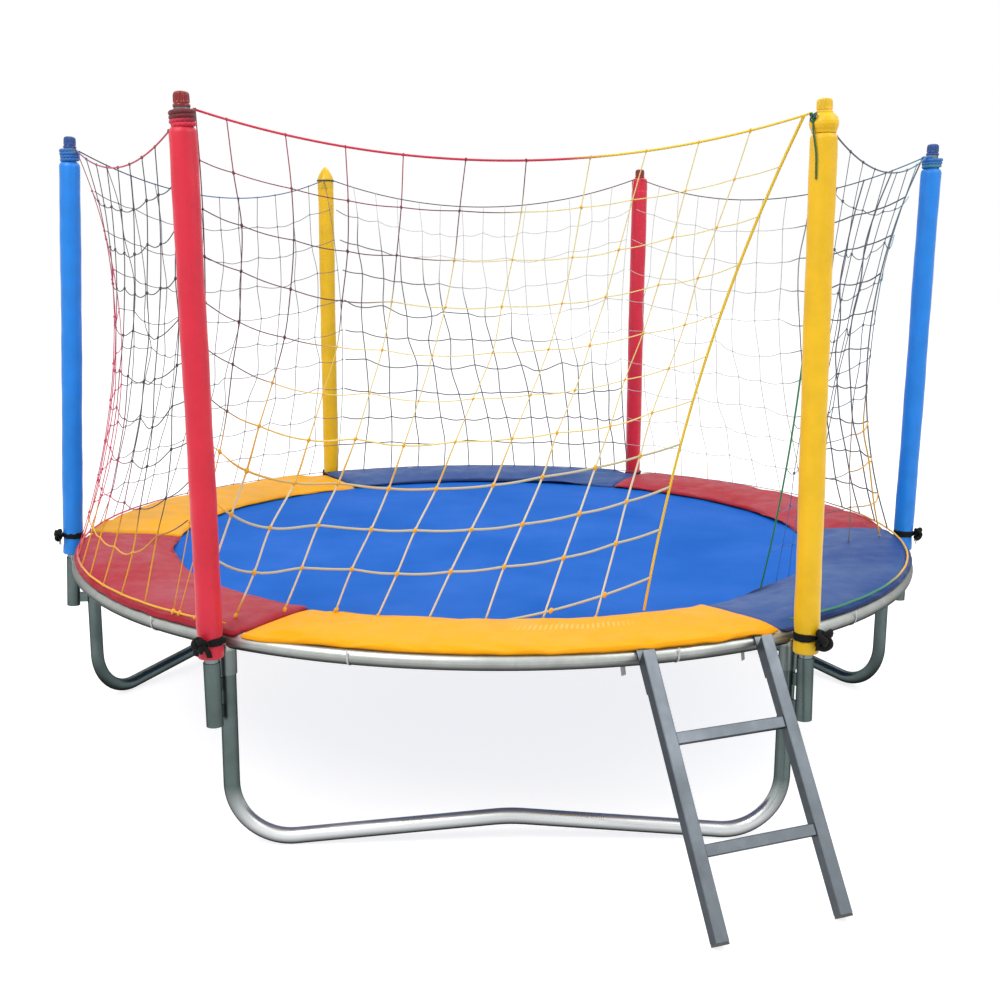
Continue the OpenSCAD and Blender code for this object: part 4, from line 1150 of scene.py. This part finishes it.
def makePad(span, p, rng):
    # the section carried along the arc; it thins to its sewn ends, and long folds run across the top
    r, z = padSection(p).T
    t = np.linspace(0, 1, p["stations"])
    gap = p["gap"] / p["inner"]
    start, stop = np.radians(60 * span) + gap, np.radians(60 * span + 60) - gap
    angle = start + (stop - start) * t
    reach = np.minimum(t, 1 - t) * (stop - start) * 1.1
    thin = np.sqrt(1 - (1 - np.clip(reach / p["end"], 0, 1)) ** 2) * 0.86 + 0.14
    bed = np.interp(r, [p["inner"], p["ramp"], p["outer"]], [0.001, 0.0105, 0.0105])
    rise = bed + (z - bed) * np.where(z > bed, thin[:, None], 1)
    top = ease(0.003, 0.0095, z - bed) * ease(p["inner"], 0.99, r) * (1 - ease(1.2, 1.236, r))
    folds = np.zeros((len(t), len(r)))
    for _ in range(p["folds"]):
        k, slant = rng.uniform(5, 26), rng.uniform(-9, 9)
        phase, size = rng.uniform(0, 6.3), rng.uniform(0.2, 0.9)
        folds += size * np.sin(k * t[:, None] * np.pi + slant * (r - 1.1) * 6 + phase) / p["folds"]
    folds = p["fold"] * folds * thin[:, None] * top
    wander = p["wander"] * np.sin(23 * t + span)[:, None] * (1 - ease(p["inner"], 0.98, r))
    rings = polar(r + wander, angle[:, None], rise + folds)
    return ringMesh("edgePad_" + spanNames[span], rings[None]), (top > 0.35).ravel()


def settle(obj, free, p):
    # cloth run: the top swells and slackens while the sewn edges and the underside stay where they are
    mesh = obj.data
    held = obj.vertex_groups.new(name="sewn")
    held.add(np.flatnonzero(~free).tolist(), 1.0, "REPLACE")
    cloth = obj.modifiers.new("cloth", "CLOTH")
    for key, value in p["cloth"].items():
        setattr(cloth.settings, key, value)
    cloth.settings.effector_weights.gravity = 0
    cloth.point_cache.frame_end = p["frames"]
    before, after = np.empty((2, 3 * len(mesh.vertices)), np.float32)
    mesh.vertices.foreach_get("co", before)
    scene = bpy.context.scene
    for frameNumber in range(1, p["frames"] + 1):
        scene.frame_set(frameNumber)
    done = obj.evaluated_get(bpy.context.evaluated_depsgraph_get()).data
    done.vertices.foreach_get("co", after)
    obj.modifiers.remove(cloth)
    obj.vertex_groups.clear()
    scene.frame_set(1)
    # no point moves farther than the cap
    moved = (after - before).reshape(-1, 3)
    length = np.linalg.norm(moved, axis=1, keepdims=True)
    moved *= np.minimum(1, p["cap"] / np.maximum(length, 1e-9))
    mesh.vertices.foreach_set("co", (before.reshape(-1, 3) + moved).ravel())
    mesh.update()


rng = np.random.default_rng(pad["seed"])
for span, name in enumerate(spanNames):
    obj, free = makePad(span, pad, rng)
    settle(obj, free, pad)
    smooth = obj.modifiers.new("smooth", "SUBSURF")
    smooth.levels = smooth.render_levels = 1
    dye = pad["dyes"][span]
    give(obj, padFinish["front" if span == frontSpan else dye], "frame", "pad_" + name)
print("pads sewn")

# ties: elastic bands from the pads down round the rim, and two loose ends that hang behind it
tie = dict(width=0.0024, thick=0.0007, clear=0.0003, steps=40, tail=0.029, tailWidth=0.0062, tailGap=0.0014)
tie.update(ends=0.0192, bend=0.009, tails=[281.5, 296.2])
tie["angles"] = [60 * n + a for n in range(6) for a in (13, 47)]


def tiePath(angle, s):
    # down beside the rim's tube, half way round under it, and up the other side
    turn = np.linspace(0, np.pi, s["steps"])
    reach = rimTube + s["clear"] + s["thick"]
    r = np.concatenate([[reach, reach], reach * np.cos(turn), [-reach, -reach]])
    z = np.concatenate([[s["ends"], s["bend"]], -reach * np.sin(turn), [s["bend"], s["ends"]]])
    out = np.stack([np.cos(turn), -np.sin(turn)], -1)
    out = np.concatenate([[(1, 0)] * 2, out, [(-1, 0)] * 2])
    path = polar(rimRadius + r, angle, rimZ + z)
    return path, polar(out[:, 0], angle, out[:, 1])


def makeTies(s):
    paths, outs = zip(*(tiePath(a, s) for a in np.radians(s["angles"])))
    return sweep(np.array(paths), np.array(outs), s["thick"], s["width"], around=8)


def tieTails(s):
    # flat ends that hang from the pad's underside, behind the rim's tube, and curl a little
    t = np.linspace(0, 1, 22)
    angles = np.radians(s["tails"])[:, None]
    r = rimRadius - rimTube - s["tailGap"] - 0.003 * np.sin(2.2 * t)
    high, low = rimZ + rimTube, rimZ - rimTube - s["tail"]
    paths = polar(r, angles + 0.004 * t**2, high + (low - high) * t)
    outs = polar(1.0, angles + 0.25 * t, 0.0 * t)
    return sweep(paths, outs, s["thick"], s["tailWidth"], around=8)


give(ringMesh("padTies", makeTies(tie)), tieFinish, "frame", "pad_ties")
give(ringMesh("tieEnds", tieTails(tie)), tieFinish, "frame")
print("ties looped")
